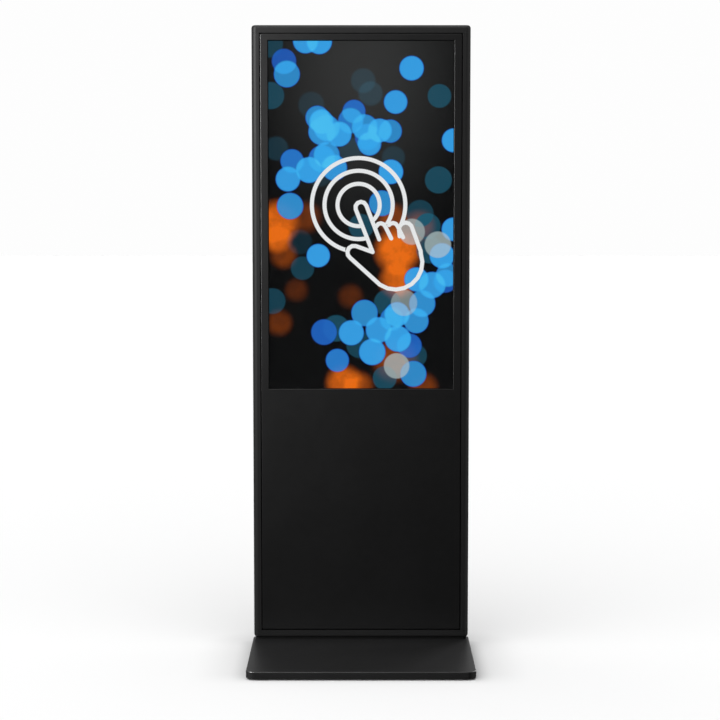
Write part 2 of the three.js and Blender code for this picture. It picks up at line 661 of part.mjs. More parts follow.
// The fascia: a skin with the window cut in it, a return all round its outer edge and a shorter
// one round the window.
function makeFascia() {
  const height = fasciaTop - fasciaBottom;
  const middle = (fasciaTop + fasciaBottom) / 2;
  const radius = FASCIA_CORNER_RADIUS;
  const skin = roundedRectangle(fasciaWidth, height, radius, 0, middle);
  skin.holes.push(windowOutline(0, THREE.Path));
  const rim = roundedRectangle(fasciaWidth, height, radius, 0, middle);
  const innerRadius = radius - FASCIA_SKIN;
  const innerSize = [fasciaWidth - 2 * FASCIA_SKIN, height - 2 * FASCIA_SKIN];
  rim.holes.push(
    roundedRectangle(innerSize[0], innerSize[1], innerRadius, 0, middle, THREE.Path),
  );
  const fascia = join(
    panel(skin, 0, FASCIA_SKIN),
    panel(rim, 0, FASCIA_RETURN),
    windowRing(FASCIA_SKIN, 0, 0, WINDOW_RETURN),
  );
  return piece("front_fascia", fascia, "blackPaint");
}

// The backlight tray: a sheet-steel pan, open towards the display cell, that holds the light guide.
function makeTray() {
  const box = panel(windowOutline(TRAY_LAP), trayFront, trayBack);
  const inside = windowOutline(TRAY_LAP - TRAY_SHEET);
  const hollow = panel(inside, trayFront - OVERLAP, trayBack - TRAY_SHEET);
  return piece("backlight_tray", cut(box, hollow), "bareSteel");
}

function makeDisplay() {
  const gasket = windowRing(GLASS_LAP, 0, gasketFront, gasketFront + GASKET_THICKNESS);
  const glass = panel(windowOutline(GLASS_LAP), glassFront, glassFront + GLASS_THICKNESS);
  const cell = panel(windowOutline(CELL_LAP), cellFront, cellFront + CELL_THICKNESS);
  const guideBack = trayBack - TRAY_SHEET - FIT_GAP;
  const guideOutline = windowOutline(TRAY_LAP - TRAY_SHEET - GUIDE_CLEARANCE);
  const guide = panel(guideOutline, guideBack - GUIDE_THICKNESS, guideBack);
  return [
    makeFascia(),
    piece("window_gasket", gasket, "rubber"),
    piece("touch_glass", glass, "glass"),
    piece("lcd_cell", cell, "screen"),
    piece("light_guide", guide, "clearPlastic"),
    makeTray(),
  ];
}

// ---------------------------------------------------------------- rear covers and door
function coverOutline(bottom, top) {
  const width = 2 * (railInner - COVER_CLEARANCE);
  return rectangle(width, top - bottom, 0, (bottom + top) / 2);
}

function makeUpperCover() {
  const bottom = COVER_SPLIT_HEIGHT + COVER_SEAM / 2;
  const outline = coverOutline(bottom, bodyTop - CAP_HEIGHT - COVER_CLEARANCE);
  const step = [SLOT_PITCH, 0];
  const slots = [-1, 1].flatMap((side) => [
    ...slotRow(side * FAN_OFFSET, fanZ, FAN_SLOT_COUNT, step, SLOT_WIDTH, FAN_SLOT_HEIGHT),
    ...slotRow(
      side * INTAKE_OFFSET, COVER_SPLIT_HEIGHT + INTAKE_ABOVE_SPLIT, INTAKE_SLOT_COUNT, step,
      SLOT_WIDTH, INTAKE_SLOT_HEIGHT,
    ),
  ]);
  const sheet = panel(outline, coverFront, coverBack);
  return piece("rear_cover_upper", cut(sheet, ...slots), "blackPaint");
}

const speakerX = uprightX + UPRIGHT_WIDTH / 2 + SPEAKER_FROM_UPRIGHT + SPEAKER_SIZE[0] / 2;
const speakerBottom = lowerBarZ - BAR_HEIGHT / 2 - SPEAKER_BELOW_BAR - SPEAKER_SIZE[2];
const speakerMiddle = speakerBottom + SPEAKER_SIZE[2] / 2;

// The lower cover: a sheet with the door opening, which has a return turned inwards all round,
// the cuts for the connection row, and slots in front of each speaker.
function makeLowerCover() {
  const outline = coverOutline(
    bodyBottom + CAP_HEIGHT + COVER_CLEARANCE,
    COVER_SPLIT_HEIGHT - COVER_SEAM / 2,
  );
  const opening = [DOOR_WIDTH + 2 * DOOR_GAP, DOOR_HEIGHT + 2 * DOOR_GAP];
  outline.holes.push(rectangle(opening[0], opening[1], 0, doorMiddle, THREE.Path));
  const clear = 2 * PANEL_CUT_CLEARANCE;
  const cutouts = [
    [INLET_X, INLET_BODY],
    [ROCKER_X, ROCKER_BODY],
    [NETWORK_X, NETWORK_BODY],
  ].map(([x, [width, height]]) =>
    block(width + clear, 3 * SHEET, height + clear, x, coverFront, CONNECTION_HEIGHT),
  );
  const buttonHole = depthBar(
    BUTTON_BODY_RADIUS + PANEL_CUT_CLEARANCE, coverFront - SHEET, coverBack + SHEET,
  );
  const speakerSlots = [-1, 1].flatMap((side) =>
    slotRow(
      side * speakerX, speakerMiddle, SPEAKER_SLOTS, [0, SPEAKER_SLOT_PITCH], ...SPEAKER_SLOT,
    ),
  );
  const flange = rectangle(opening[0] + 2 * SHEET, opening[1] + 2 * SHEET, 0, doorMiddle);
  flange.holes.push(rectangle(opening[0], opening[1], 0, doorMiddle, THREE.Path));
  const sheet = panel(outline, coverFront, coverBack);
  const returns = panel(flange, coverFront - OPENING_RETURN, coverFront + SHEET / 2);
  const cover = cut(
    join(sheet, returns),
    ...cutouts,
    ...speakerSlots,
    buttonHole.translate(BUTTON_X, 0, CONNECTION_HEIGHT),
  );
  return piece("rear_cover_lower", cover, "blackPaint");
}

// The service door: a shallow pan that fills the opening, with the lock's hole in it.
function makeDoor() {
  const skin = rectangle(DOOR_WIDTH, DOOR_HEIGHT, 0, doorMiddle);
  skin.holes.push(disc(LOCK_BARREL_RADIUS + PANEL_CUT_CLEARANCE, lockX, lockZ, THREE.Path));
  const rim = rectangle(DOOR_WIDTH, DOOR_HEIGHT, 0, doorMiddle);
  const inside = [DOOR_WIDTH - 2 * SHEET, DOOR_HEIGHT - 2 * SHEET];
  rim.holes.push(rectangle(inside[0], inside[1], 0, doorMiddle, THREE.Path));
  const pan = join(
    panel(skin, coverFront, coverBack, ROUND_STEPS),
    panel(rim, coverFront - DOOR_RETURN, coverFront + SHEET / 2),
  );
  return piece("service_door", pan, "blackPaint");
}

// A leaf with its knuckles, drawn round the hinge's axis, which is its origin. `side` is 1 for the
// leaf on the cover and -1 for the one on the door; `spans` are its knuckles' ends.
function hingeLeaf(side, spans) {
  const reach = KNUCKLE_RADIUS + 2 * FIT_GAP;
  const leafMiddle = LEAF_THICKNESS / 2 - KNUCKLE_RADIUS;
  const plate = block(
    LEAF_WIDTH, LEAF_THICKNESS, HINGE_HEIGHT, side * (reach + LEAF_WIDTH / 2), leafMiddle, 0,
  );
  const parts = spans.flatMap(([bottom, top]) => [
    uprightBar(KNUCKLE_RADIUS, bottom, top),
    block(
      reach + OVERLAP, LEAF_THICKNESS, top - bottom,
      (side * (reach + OVERLAP)) / 2, leafMiddle, (bottom + top) / 2,
    ),
  ]);
  const bore = uprightBar(PIN_RADIUS + FIT_GAP, -HINGE_HEIGHT, HINGE_HEIGHT, SMALL_ROUND_STEPS);
  return cut(join(plate, ...parts), bore);
}

function makeHinge(name, z) {
  const middle = KNUCKLE_MIDDLE / 2;
  const outer = HINGE_HEIGHT / 2;
  const inner = middle + KNUCKLE_GAP;
  const headBottom = outer + FIT_GAP;
  const pin = join(
    uprightBar(PIN_RADIUS, -outer, headBottom + PIN_HEAD_HEIGHT / 2, SMALL_ROUND_STEPS),
    uprightBar(PIN_HEAD_RADIUS, headBottom, headBottom + PIN_HEAD_HEIGHT, SMALL_ROUND_STEPS),
  );
  const frameLeaf = hingeLeaf(1, [[-middle, middle]]);
  const doorLeaf = hingeLeaf(-1, [[-outer, -inner], [inner, outer]]);
  return group(
    hingeX, hingeDepth, z,
    piece(`${name}_frame_leaf`, frameLeaf, "zincSteel"),
    piece(`${name}_door_leaf`, doorLeaf, "zincSteel"),
    piece(`${name}_pin`, pin, "zincSteel"),
  );
}

// The cam lock, drawn round its own axis: a flanged housing through the door's skin, a nut behind
// the skin, a plug with a key slot, and a cam that points up when unlocked.
function makeLock() {
  const flangeFront = coverBack + FIT_GAP;
  const flangeBack = flangeFront + LOCK_FLANGE_THICKNESS;
  const barrelFront = flangeFront - LOCK_BARREL_LENGTH;
  const housing = cut(
    join(
      depthBar(LOCK_FLANGE_RADIUS, flangeFront, flangeBack),
      depthBar(LOCK_BARREL_RADIUS, barrelFront, flangeFront + OVERLAP),
    ),
    depthBar(LOCK_PLUG_RADIUS + FIT_GAP, barrelFront - OVERLAP, flangeBack + OVERLAP),
  );
  const nutBack = coverFront - FIT_GAP;
  const keySlot = block(...KEY_SLOT, 0, flangeBack + FIT_GAP, 0);
  const plug = cut(depthBar(LOCK_PLUG_RADIUS, barrelFront, flangeBack + FIT_GAP), keySlot);
  const camBack = barrelFront - FIT_GAP;
  const cam = new THREE.Shape();
  cam.absarc(0, 0, CAM_WIDTH / 2, Math.PI, 2 * Math.PI);
  cam.absarc(0, CAM_REACH - CAM_WIDTH / 2, CAM_WIDTH / 2, 0, Math.PI);
  cam.closePath();
  return group(
    lockX, 0, lockZ,
    piece("lock_housing", housing, "zincSteel"),
    piece("lock_nut", hexagonNut(nutBack - LOCK_NUT_THICKNESS, nutBack), "zincSteel"),
    piece("lock_plug", plug, "bareSteel"),
    piece("lock_cam", panel(cam, camBack - CAM_THICKNESS, camBack), "bareSteel"),
  );
}

function hexagonNut(front, back) {
  const corners = Array.from({ length: 6 }, (_, i) => {
    const angle = (i * Math.PI) / 3;
    return [LOCK_NUT_RADIUS * Math.cos(angle), LOCK_NUT_RADIUS * Math.sin(angle)];
  });
  const nut = polygon(corners);
  nut.holes.push(disc(LOCK_BARREL_RADIUS + FIT_GAP, 0, 0, THREE.Path));
  return panel(nut, front, back, ROUND_STEPS);
}

// ---------------------------------------------------------------- connection row
// A socket body that passes through the cover, with a flange outside it and a pocket open to the
// rear, drawn round its own middle.
function flangedSocket(flange, body, socket, depth, socketDepth) {
  const flangeFront = coverBack + FIT_GAP;
  const back = flangeFront + FLANGE_THICKNESS;
  return cut(
    join(
      panel(roundedRectangle(flange[0], flange[1], FLANGE_CORNER_RADIUS), flangeFront, back),
      panel(rectangle(body[0], body[1]), back - depth, flangeFront + OVERLAP),
    ),
    panel(rectangle(socket[0], socket[1]), back - socketDepth, back + OVERLAP),
  );
}

// The rocker's frame, and the rocker's own solid drawn round its pivot: the section has y as the
// depth and z as the height, and its two faces meet in a shallow valley.
function rockerFrame(flangeFront, back) {
  const [width, height] = ROCKER_FLANGE;
  const well = rectangle(ROCKER_SIZE[0] + 2 * ROCKER_CLEARANCE, ROCKER_SIZE[1] + 2 * ROCKER_CLEARANCE);
  return cut(
    join(
      panel(roundedRectangle(width, height, FLANGE_CORNER_RADIUS), flangeFront, back),
      panel(rectangle(ROCKER_BODY[0], ROCKER_BODY[1]), back - ROCKER_DEPTH, flangeFront + OVERLAP),
    ),
    panel(well, back - ROCKER_DEPTH + FLANGE_THICKNESS, back + OVERLAP),
  );
}

function rockerBar() {
  const half = ROCKER_SIZE[1] / 2 - ROCKER_CLEARANCE;
  const face = ROCKER_FACE;
  const heel = ROCKER_HEEL;
  const shoulder = face / 4;
  const rise = Math.tan(THREE.MathUtils.degToRad(ROCKER_TILT)) * half;
  const side = polygon([
    [-face, -heel], [shoulder, -half], [face + rise, -half], [face, 0], [face + rise, half],
    [shoulder, half], [-face, heel],
  ]);
  const bar = new THREE.ExtrudeGeometry(side, { depth: ROCKER_SIZE[0], bevelEnabled: false });
  // Turned so that the section's x runs along the depth and its y along the height.
  return bar.translate(0, 0, -ROCKER_SIZE[0] / 2).rotateX(Math.PI / 2).rotateZ(Math.PI / 2);
}

function makeConnections() {
  const flangeFront = coverBack + FIT_GAP;
  const back = flangeFront + FLANGE_THICKNESS;
  const frame = rockerFrame(flangeFront, back);
  const rocker = piece("power_rocker", rockerBar(), "redRocker");
  const rockerGroup = group(0, back - ROCKER_PIVOT, 0, rocker);
  rockerGroup.rotation.x = THREE.MathUtils.degToRad(ROCKER_TILT);
  const bezel = cut(
    join(
      depthBar(BUTTON_BEZEL_RADIUS, flangeFront, back),
      depthBar(BUTTON_BODY_RADIUS, back - BUTTON_BODY_DEPTH, flangeFront + OVERLAP),
    ),
    depthBar(
      BUTTON_RADIUS + FIT_GAP, back - BUTTON_LENGTH - BUTTON_TRAVEL - FIT_GAP, back + OVERLAP,
    ),
  );
  const button = depthBar(BUTTON_RADIUS, back - BUTTON_LENGTH, back + BUTTON_PROUD);
  const inlet = flangedSocket(
    INLET_FLANGE, INLET_BODY, INLET_SOCKET, INLET_DEPTH, INLET_SOCKET_DEPTH,
  );
  const network = flangedSocket(
    NETWORK_FLANGE, NETWORK_BODY, NETWORK_SOCKET, NETWORK_DEPTH, NETWORK_SOCKET_DEPTH,
  );
  return group(
    0, 0, CONNECTION_HEIGHT,
    group(INLET_X, 0, 0, piece("mains_inlet", inlet, "blackPlastic")),
    group(ROCKER_X, 0, 0, piece("rocker_frame", frame, "blackPlastic"), rockerGroup),
    group(NETWORK_X, 0, 0, piece("network_socket", network, "blackPlastic")),
    group(
      BUTTON_X, 0, 0,
      piece("button_bezel", bezel, "bareSteel"),
      piece("power_button", button, "bareSteel"),
    ),
  );
}

// ---------------------------------------------------------------- equipment
// A fan frame: a square with a round bore, and a spider that holds the motor base in it.
function fanFrame() {
  const front = fanBack - FAN_THICKNESS;
  const square = roundedRectangle(FAN_SIZE, FAN_SIZE, FAN_CORNER_RADIUS);
  square.holes.push(disc(FAN_BORE_RADIUS, 0, 0, THREE.Path));
  const reach = FAN_BORE_RADIUS + OVERLAP;
  const arms = [0, 1, 2].map((i) =>
    block(reach, FAN_BASE, FAN_ARM_WIDTH, reach / 2, front + FAN_BASE / 2, 0)
      .rotateY((i * 2 * Math.PI) / 3),
  );
  return join(
    panel(square, front, fanBack, ROUND_STEPS),
    depthBar(FAN_HUB_RADIUS, front, front + FAN_BASE),
    ...arms,
  );
}

function fanRotor() {
  const hubFront = fanBack - FAN_THICKNESS + FAN_BASE + FIT_GAP;
  const hubBack = fanBack - FAN_HUB_INSET;
  const middle = (hubFront + hubBack) / 2;
  const pitch = THREE.MathUtils.degToRad(FAN_BLADE_PITCH);
  const length = FAN_BLADE_LENGTH;
  const blades = Array.from({ length: FAN_BLADES }, (_, i) =>
    block(length, FAN_BLADE_THICKNESS, FAN_BLADE_WIDTH, FAN_HUB_RADIUS - OVERLAP + length / 2, 0, 0)
      .rotateX(pitch)
      .rotateY((i * 2 * Math.PI) / FAN_BLADES)
      .translate(0, middle, 0),
  );
  return join(depthBar(FAN_HUB_RADIUS, hubFront, hubBack), ...blades);
}

function boxOn(size, x, front, bottom) {
  const [width, depth, height] = size;
  return block(width, depth, height, x, front + depth / 2, bottom + height / 2);
}

// The equipment plate: a sheet between the uprights with a flange turned back at each side.
function makePlate() {
  const half = uprightX - UPRIGHT_WIDTH / 2 - FIT_GAP;
  const back = PLATE_DEPTH + PLATE_FLANGE;
  const inner = half - SHEET;
  const outline = polygon([
    [-half, PLATE_DEPTH], [half, PLATE_DEPTH], [half, back], [inner, back],
    [inner, PLATE_DEPTH + SHEET], [-inner, PLATE_DEPTH + SHEET], [-inner, back], [-half, back],
  ]);
  const plate = column(outline, plateBottom, plateBottom + PLATE_HEIGHT);
  return piece("equipment_plate", plate, "bareSteel");
}

function makeSpeaker(name, side) {
  const back = rearLedge - FIT_GAP;
  const front = back - SPEAKER_SIZE[1];
  const box = boxOn(SPEAKER_SIZE, 0, front, speakerBottom);
  const cone = depthBar(SPEAKER_CONE_RADIUS, back - SPEAKER_CONE_DEPTH, back + OVERLAP);
  const body = cut(box, cone.translate(0, 0, speakerMiddle));
  return group(side * speakerX, 0, 0, piece(name, body, "blackPlastic"));
}

function makeFan(name, side) {
  return group(
    side * FAN_OFFSET, 0, fanZ,
    piece(`fan_frame_${name}`, fanFrame(), "blackPlastic"),
    piece(`fan_rotor_${name}`, fanRotor(), "blackPlastic"),
  );
}

// Inner cables. Each keeps clear of the service bay and runs behind the crossbars.
function makeCables() {
  const supplyTop = equipmentBottom + SUPPLY_SIZE[2] + FIT_GAP;
  const playerTop = equipmentBottom + PLAYER_SIZE[2] + FIT_GAP;
  const behindBars = barFront + BAR_THICKNESS + 2 * FIT_GAP + CABLE_RADIUS;
  const mid = equipmentFront + SUPPLY_SIZE[1] / 2;
  const controllerEnd = controllerBottom - CABLE_END_GAP;
  const rockerTop = CONNECTION_HEIGHT + ROCKER_BODY[1] / 2 + FIT_GAP;
  const loomDepth = coverBack - LOOM_FROM_COVER;
  const mains = cable(
    [
      [ROCKER_X, loomDepth, rockerTop],
      [ROCKER_X, loomDepth, rockerTop + 25],
      [ROCKER_X - 20, mid, equipmentBottom - 30],
      [ROCKER_X - 20, mid, equipmentBottom - FIT_GAP],
    ],
    CABLE_RADIUS, 12,
  );
  const power = cable(
    [
      [-100, mid, supplyTop],
      [-100, mid, supplyTop + 30],
      [-104, behindBars, lowerBarZ - 60],
      [-104, behindBars, lowerBarZ + 60],
      [-75, behindBars, controllerEnd - 90],
      [-70, behindBars, controllerEnd - 20],
      [-70, behindBars, controllerEnd],
    ],
    CABLE_RADIUS, 40,
  );
  const video = cable(
    [
      [30, mid, playerTop],
      [28, mid, playerTop + 20],
      [-50, mid, playerTop + 45],
      [-86, mid + 1, playerTop + 100],
      [-88, behindBars, lowerBarZ - 60],
      [-88, behindBars, lowerBarZ + 60],
      [-48, behindBars, controllerEnd - 90],
      [-40, behindBars, controllerEnd - 20],
      [-40, behindBars, controllerEnd],
    ],
    VIDEO_CABLE_RADIUS, 44,
  );
  return [
    piece("mains_loom", mains, "cableJacket"),
    piece("display_power_cable", power, "cableJacket"),
    piece("video_cable", video, "cableJacket"),
  ];
}

function makeEquipment() {
  const supply = boxOn(SUPPLY_SIZE, SUPPLY_X, equipmentFront, equipmentBottom);
  const player = boxOn(PLAYER_SIZE, PLAYER_X, equipmentFront, equipmentBottom);
  const controller = boxOn(CONTROLLER_SIZE, 0, trayBack + FIT_GAP, controllerBottom);
  const touchBoard = boxOn(
    TOUCH_BOARD_SIZE, 0, barFront + BAR_THICKNESS + FIT_GAP, lowerBarZ - TOUCH_BOARD_SIZE[2] / 2,
  );
  return [
    makePlate(),
    piece("power_supply", supply, "bareSteel"),
    piece("media_player", player, "blackAluminium"),
    piece("display_controller", controller, "greenBoard"),
    piece("touch_controller", touchBoard, "greenBoard"),
    makeSpeaker("speaker_left", -1),
    makeSpeaker("speaker_right", 1),
    makeFan("left", -1),
    makeFan("right", 1),
    ...makeCables(),
  ];
}

// ---------------------------------------------------------------- the kiosk
const kiosk = new THREE.Group();
kiosk.add(makeBase());
kiosk.add(
  group(
    0, bodyFrontY, 0,
    makePlinth(),
    ...makeBolts(),
    ...makeFrame(),
    ...makeDisplay(),
    makeUpperCover(),
    makeLowerCover(),
    makeDoor(),
    makeHinge("hinge_upper", doorTop - HINGE_FROM_DOOR_END),
    makeHinge("hinge_lower", DOOR_BOTTOM + HINGE_FROM_DOOR_END),
    makeLock(),
    makeConnections(),
    ...makeEquipment(),
  ),
);

export default kiosk;
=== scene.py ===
"""The finished surfaces, materials, stage and camera of a floor-standing touchscreen kiosk, made round its
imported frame. Metres, +Z up; the screen faces -Y, and the floor is at z = 0."""
import json
import math

import bmesh
import bpy
import numpy as np
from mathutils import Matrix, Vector
from mathutils.geometry import tessellate_polygon


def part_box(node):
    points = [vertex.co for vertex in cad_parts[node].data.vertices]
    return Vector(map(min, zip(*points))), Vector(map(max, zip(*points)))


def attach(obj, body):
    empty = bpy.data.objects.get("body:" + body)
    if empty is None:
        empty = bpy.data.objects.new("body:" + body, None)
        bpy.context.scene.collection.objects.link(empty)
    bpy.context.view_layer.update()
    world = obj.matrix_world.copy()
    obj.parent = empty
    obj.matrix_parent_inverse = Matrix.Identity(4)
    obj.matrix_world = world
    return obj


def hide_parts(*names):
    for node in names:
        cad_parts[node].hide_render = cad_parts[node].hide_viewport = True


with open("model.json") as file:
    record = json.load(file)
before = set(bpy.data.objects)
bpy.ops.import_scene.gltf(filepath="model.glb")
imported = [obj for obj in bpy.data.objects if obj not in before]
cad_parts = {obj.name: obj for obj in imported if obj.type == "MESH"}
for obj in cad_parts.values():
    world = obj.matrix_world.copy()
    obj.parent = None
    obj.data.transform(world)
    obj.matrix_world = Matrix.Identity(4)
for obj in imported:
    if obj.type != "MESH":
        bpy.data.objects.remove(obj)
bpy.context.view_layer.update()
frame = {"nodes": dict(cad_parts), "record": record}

bl_info = {
    "name": "Touchscreen Kiosk",
    "version": (1, 0, 0),
    "blender": (4, 5, 0),
    "location": "3D View > Sidebar > Kiosk",
    "description": "Finishes a floor-standing touchscreen kiosk round its packed frame",
    "category": "Object",
}

MM = 0.001
ARC_STEPS = 12  # in a quarter turn of a large corner
SMALL_ARC_STEPS = 5
ROUND_STEPS = 48  # in a full turn
SCREW_STEPS = 20
BEVEL_SEGMENTS = 2
SHARP_ANGLE = math.radians(30)
CAD_SMOOTH_ANGLE = math.radians(38)
FLAT_ANGLE = math.radians(0.5)
MERGE_DISTANCE = 1e-6
SKIN = 2 * MM  # the sheet of the fascia and of the base cover
COVER_SHEET = 1.5 * MM  # the sheet of the rear covers and of the door
FIT = 0.3 * MM  # the play between two pieces that meet
FASCIA_GAP = 3 * MM  # from the fascia's edge to the frame round it
PANEL_HOLE = 8.4 * MM  # radius of the holes for the lock and for the power button
CHIP_EASE = 0.3 * MM

BODY_OF = {
    node: body for body, nodes in frame["record"]["behaviour"]["bodies"].items() for node in nodes
}
MATERIALS = {}  # each finish, made once and shared by the pieces that have it


# ------------------------------------------------------------------------------ what a user can change
class KioskSizes(bpy.types.PropertyGroup):
    """Radii and small sizes that the frame doesn't hold."""

    rail_front_radius: bpy.props.FloatProperty(
        name="Rail Front Radius", description="Radius of the body's front corners",
        default=14 * MM, min=2 * MM, subtype="DISTANCE", unit="LENGTH")
    rail_rear_radius: bpy.props.FloatProperty(
        name="Rail Rear Radius", description="Radius of the body's rear corners",
        default=10 * MM, min=2 * MM, subtype="DISTANCE", unit="LENGTH")
    cap_edge_radius: bpy.props.FloatProperty(
        name="Cap Edge Radius", description="Radius of the top cap's and the bottom rail's outer edges",
        default=9 * MM, min=0.5 * MM, subtype="DISTANCE", unit="LENGTH")
    base_corner_radius: bpy.props.FloatProperty(
        name="Base Corner Radius", description="Radius of the base's corners in plan",
        default=24 * MM, min=3 * MM, subtype="DISTANCE", unit="LENGTH")
    base_edge_radius: bpy.props.FloatProperty(
        name="Base Edge Radius", description="Radius of the base's upper edge",
        default=2.5 * MM, min=0.5 * MM, subtype="DISTANCE", unit="LENGTH")
    fascia_edge_radius: bpy.props.FloatProperty(
        name="Fascia Edge Radius", description="Radius of the fascia's outer bend",
        default=1.1 * MM, min=0.2 * MM, subtype="DISTANCE", unit="LENGTH")
    window_edge_radius: bpy.props.FloatProperty(
        name="Window Edge Radius", description="Radius of the bend round the screen window",
        default=0.6 * MM, min=0.2 * MM, subtype="DISTANCE", unit="LENGTH")
    screw_pitch: bpy.props.FloatProperty(
        name="Screw Pitch", description="Largest distance between two screws of a rear cover",
        default=220 * MM, min=40 * MM, subtype="DISTANCE", unit="LENGTH")


class KioskColours(bpy.types.PropertyGroup):
    """The colours of the finishes."""

    paint: bpy.props.FloatVectorProperty(
        name="Paint", description="Powder coat on the base, fascia, covers and door",
        default=(0.0010, 0.0010, 0.00105), size=3, min=0, max=1, subtype="COLOR")
    anodised: bpy.props.FloatVectorProperty(
        name="Anodised Aluminium", description="Side rails, top cap and bottom rail",
        default=(0.0030, 0.0030, 0.0031), size=3, min=0, max=1, subtype="COLOR")
    screen_ground: bpy.props.FloatVectorProperty(
        name="Screen Ground", description="The picture's dark ground at its brightest",
        default=(0.034, 0.034, 0.034), size=3, min=0, max=1, subtype="COLOR")
    screen_blue: bpy.props.FloatVectorProperty(
        name="Screen Blue", description="The picture's bright discs",
        default=(0.044, 0.385, 0.88), size=3, min=0, max=1, subtype="COLOR")
    screen_teal: bpy.props.FloatVectorProperty(
        name="Screen Teal", description="The picture's dim discs",
        default=(0.014, 0.10, 0.16), size=3, min=0, max=1, subtype="COLOR")
    screen_orange: bpy.props.FloatVectorProperty(
        name="Screen Orange", description="The picture's warm blurs",
        default=(0.86, 0.155, 0.004), size=3, min=0, max=1, subtype="COLOR")
    circuit_board: bpy.props.FloatVectorProperty(
        name="Circuit Board", description="Solder mask of the boards",
        default=(0.012, 0.085, 0.040), size=3, min=0, max=1, subtype="COLOR")


class KioskStage(bpy.types.PropertyGroup):
    """The camera and the studio light."""

    camera_distance: bpy.props.FloatProperty(
        name="Camera Distance", description="From the camera to the body's front",
        default=5.729, min=1, subtype="DISTANCE", unit="LENGTH")
    camera_height: bpy.props.FloatProperty(
        name="Camera Height", description="Of the camera above the floor",
        default=1.354, min=0, subtype="DISTANCE", unit="LENGTH")
    camera_offset: bpy.props.FloatProperty(
        name="Camera Offset", description="Of the camera to the right of the object's middle",
        default=-0.003, subtype="DISTANCE", unit="LENGTH")
    camera_pitch: bpy.props.FloatProperty(
        name="Camera Pitch", description="Angle that the camera looks down by",
        default=math.radians(5.154), subtype="ANGLE", unit="ROTATION")
    camera_lens: bpy.props.FloatProperty(
        name="Lens", description="Focal length on a 36 mm sensor",
        default=100.5, min=10, subtype="DISTANCE_CAMERA", unit="CAMERA")
    key_power: bpy.props.FloatProperty(
        name="Key Power", description="Power of the large softbox in front, on the left",
        default=245, min=0)
    rail_power: bpy.props.FloatProperty(
        name="Rail Power", description="Power of the broad softbox for the side and end rails alone",
        default=52, min=0)
    top_power: bpy.props.FloatProperty(
        name="Top Power", description="Power of the overhead softbox", default=26, min=0)
    rim_power: bpy.props.FloatProperty(
        name="Rim Power", description="Power of the softbox behind, on the right", default=60, min=0)
    base_power: bpy.props.FloatProperty(
        name="Base Power", description="Power of the low strip that lights the base's front edge",
        default=4, min=0)
    floor_grey: bpy.props.FloatProperty(
        name="Floor Grey", description="How much light the floor reflects", default=0.90, min=0, max=1)
    floor_light: bpy.props.FloatProperty(
        name="Floor Light", description="Strength of the studio's even light", default=1.125, min=0)


# ------------------------------------------------------------------------------ outlines
def arc(centre, radius, start, end, steps):
    """Points centre + radius (cos a, sin a), with a from start to end in degrees."""
    angle = np.radians(np.linspace(start, end, steps + 1))
    return np.stack([centre[0] + radius * np.cos(angle), centre[1] + radius * np.sin(angle)], axis=1)


def rounded_outline(low, high, radii, inset=0.0, steps=ARC_STEPS):
    """Four corner arcs joined by straight sides, anticlockwise from the lower right. An inset keeps each
    arc's centre and takes the inset off its radius."""
    (left, bottom), (right, top) = low, high
    r = radii if np.ndim(radii) else (radii,) * 4
    corners = [(right - r[0], bottom + r[0]), (right - r[1], top - r[1]),
               (left + r[2], top - r[2]), (left + r[3], bottom + r[3])]
    return np.concatenate([
        arc(corner, r[i] - inset, 90 * i - 90, 90 * i, steps) for i, corner in enumerate(corners)
    ])


def rectangle(low, high):
    """The four corners of a rectangle, anticlockwise."""
    return np.array([(low[0], low[1]), (high[0], low[1]), (high[0], high[1]), (low[0], high[1])], float)


def circle(centre, radius):
    """Points on a full circle, without repeating the first."""
    return arc(centre, radius, 0, 360, ROUND_STEPS)[:-1]


def slot_outline(centre, width, height):
    """A slot with half-round ends: two half circles of nearly half its narrow side."""
    half = np.array([width, height]) / 2
    low, high = np.array(centre) - half, np.array(centre) + half
    return rounded_outline(low, high, half.min() - 0.01 * MM, steps=SMALL_ARC_STEPS)


def in_plan(outline, z):
    """An outline (x, y) at height z."""
    return np.column_stack([outline, np.full(len(outline), z)])


def facing(outline, y):
    """An outline (x, z) seen from the front, at y."""
    return np.column_stack([outline[:, 0], np.full(len(outline), y), outline[:, 1]])


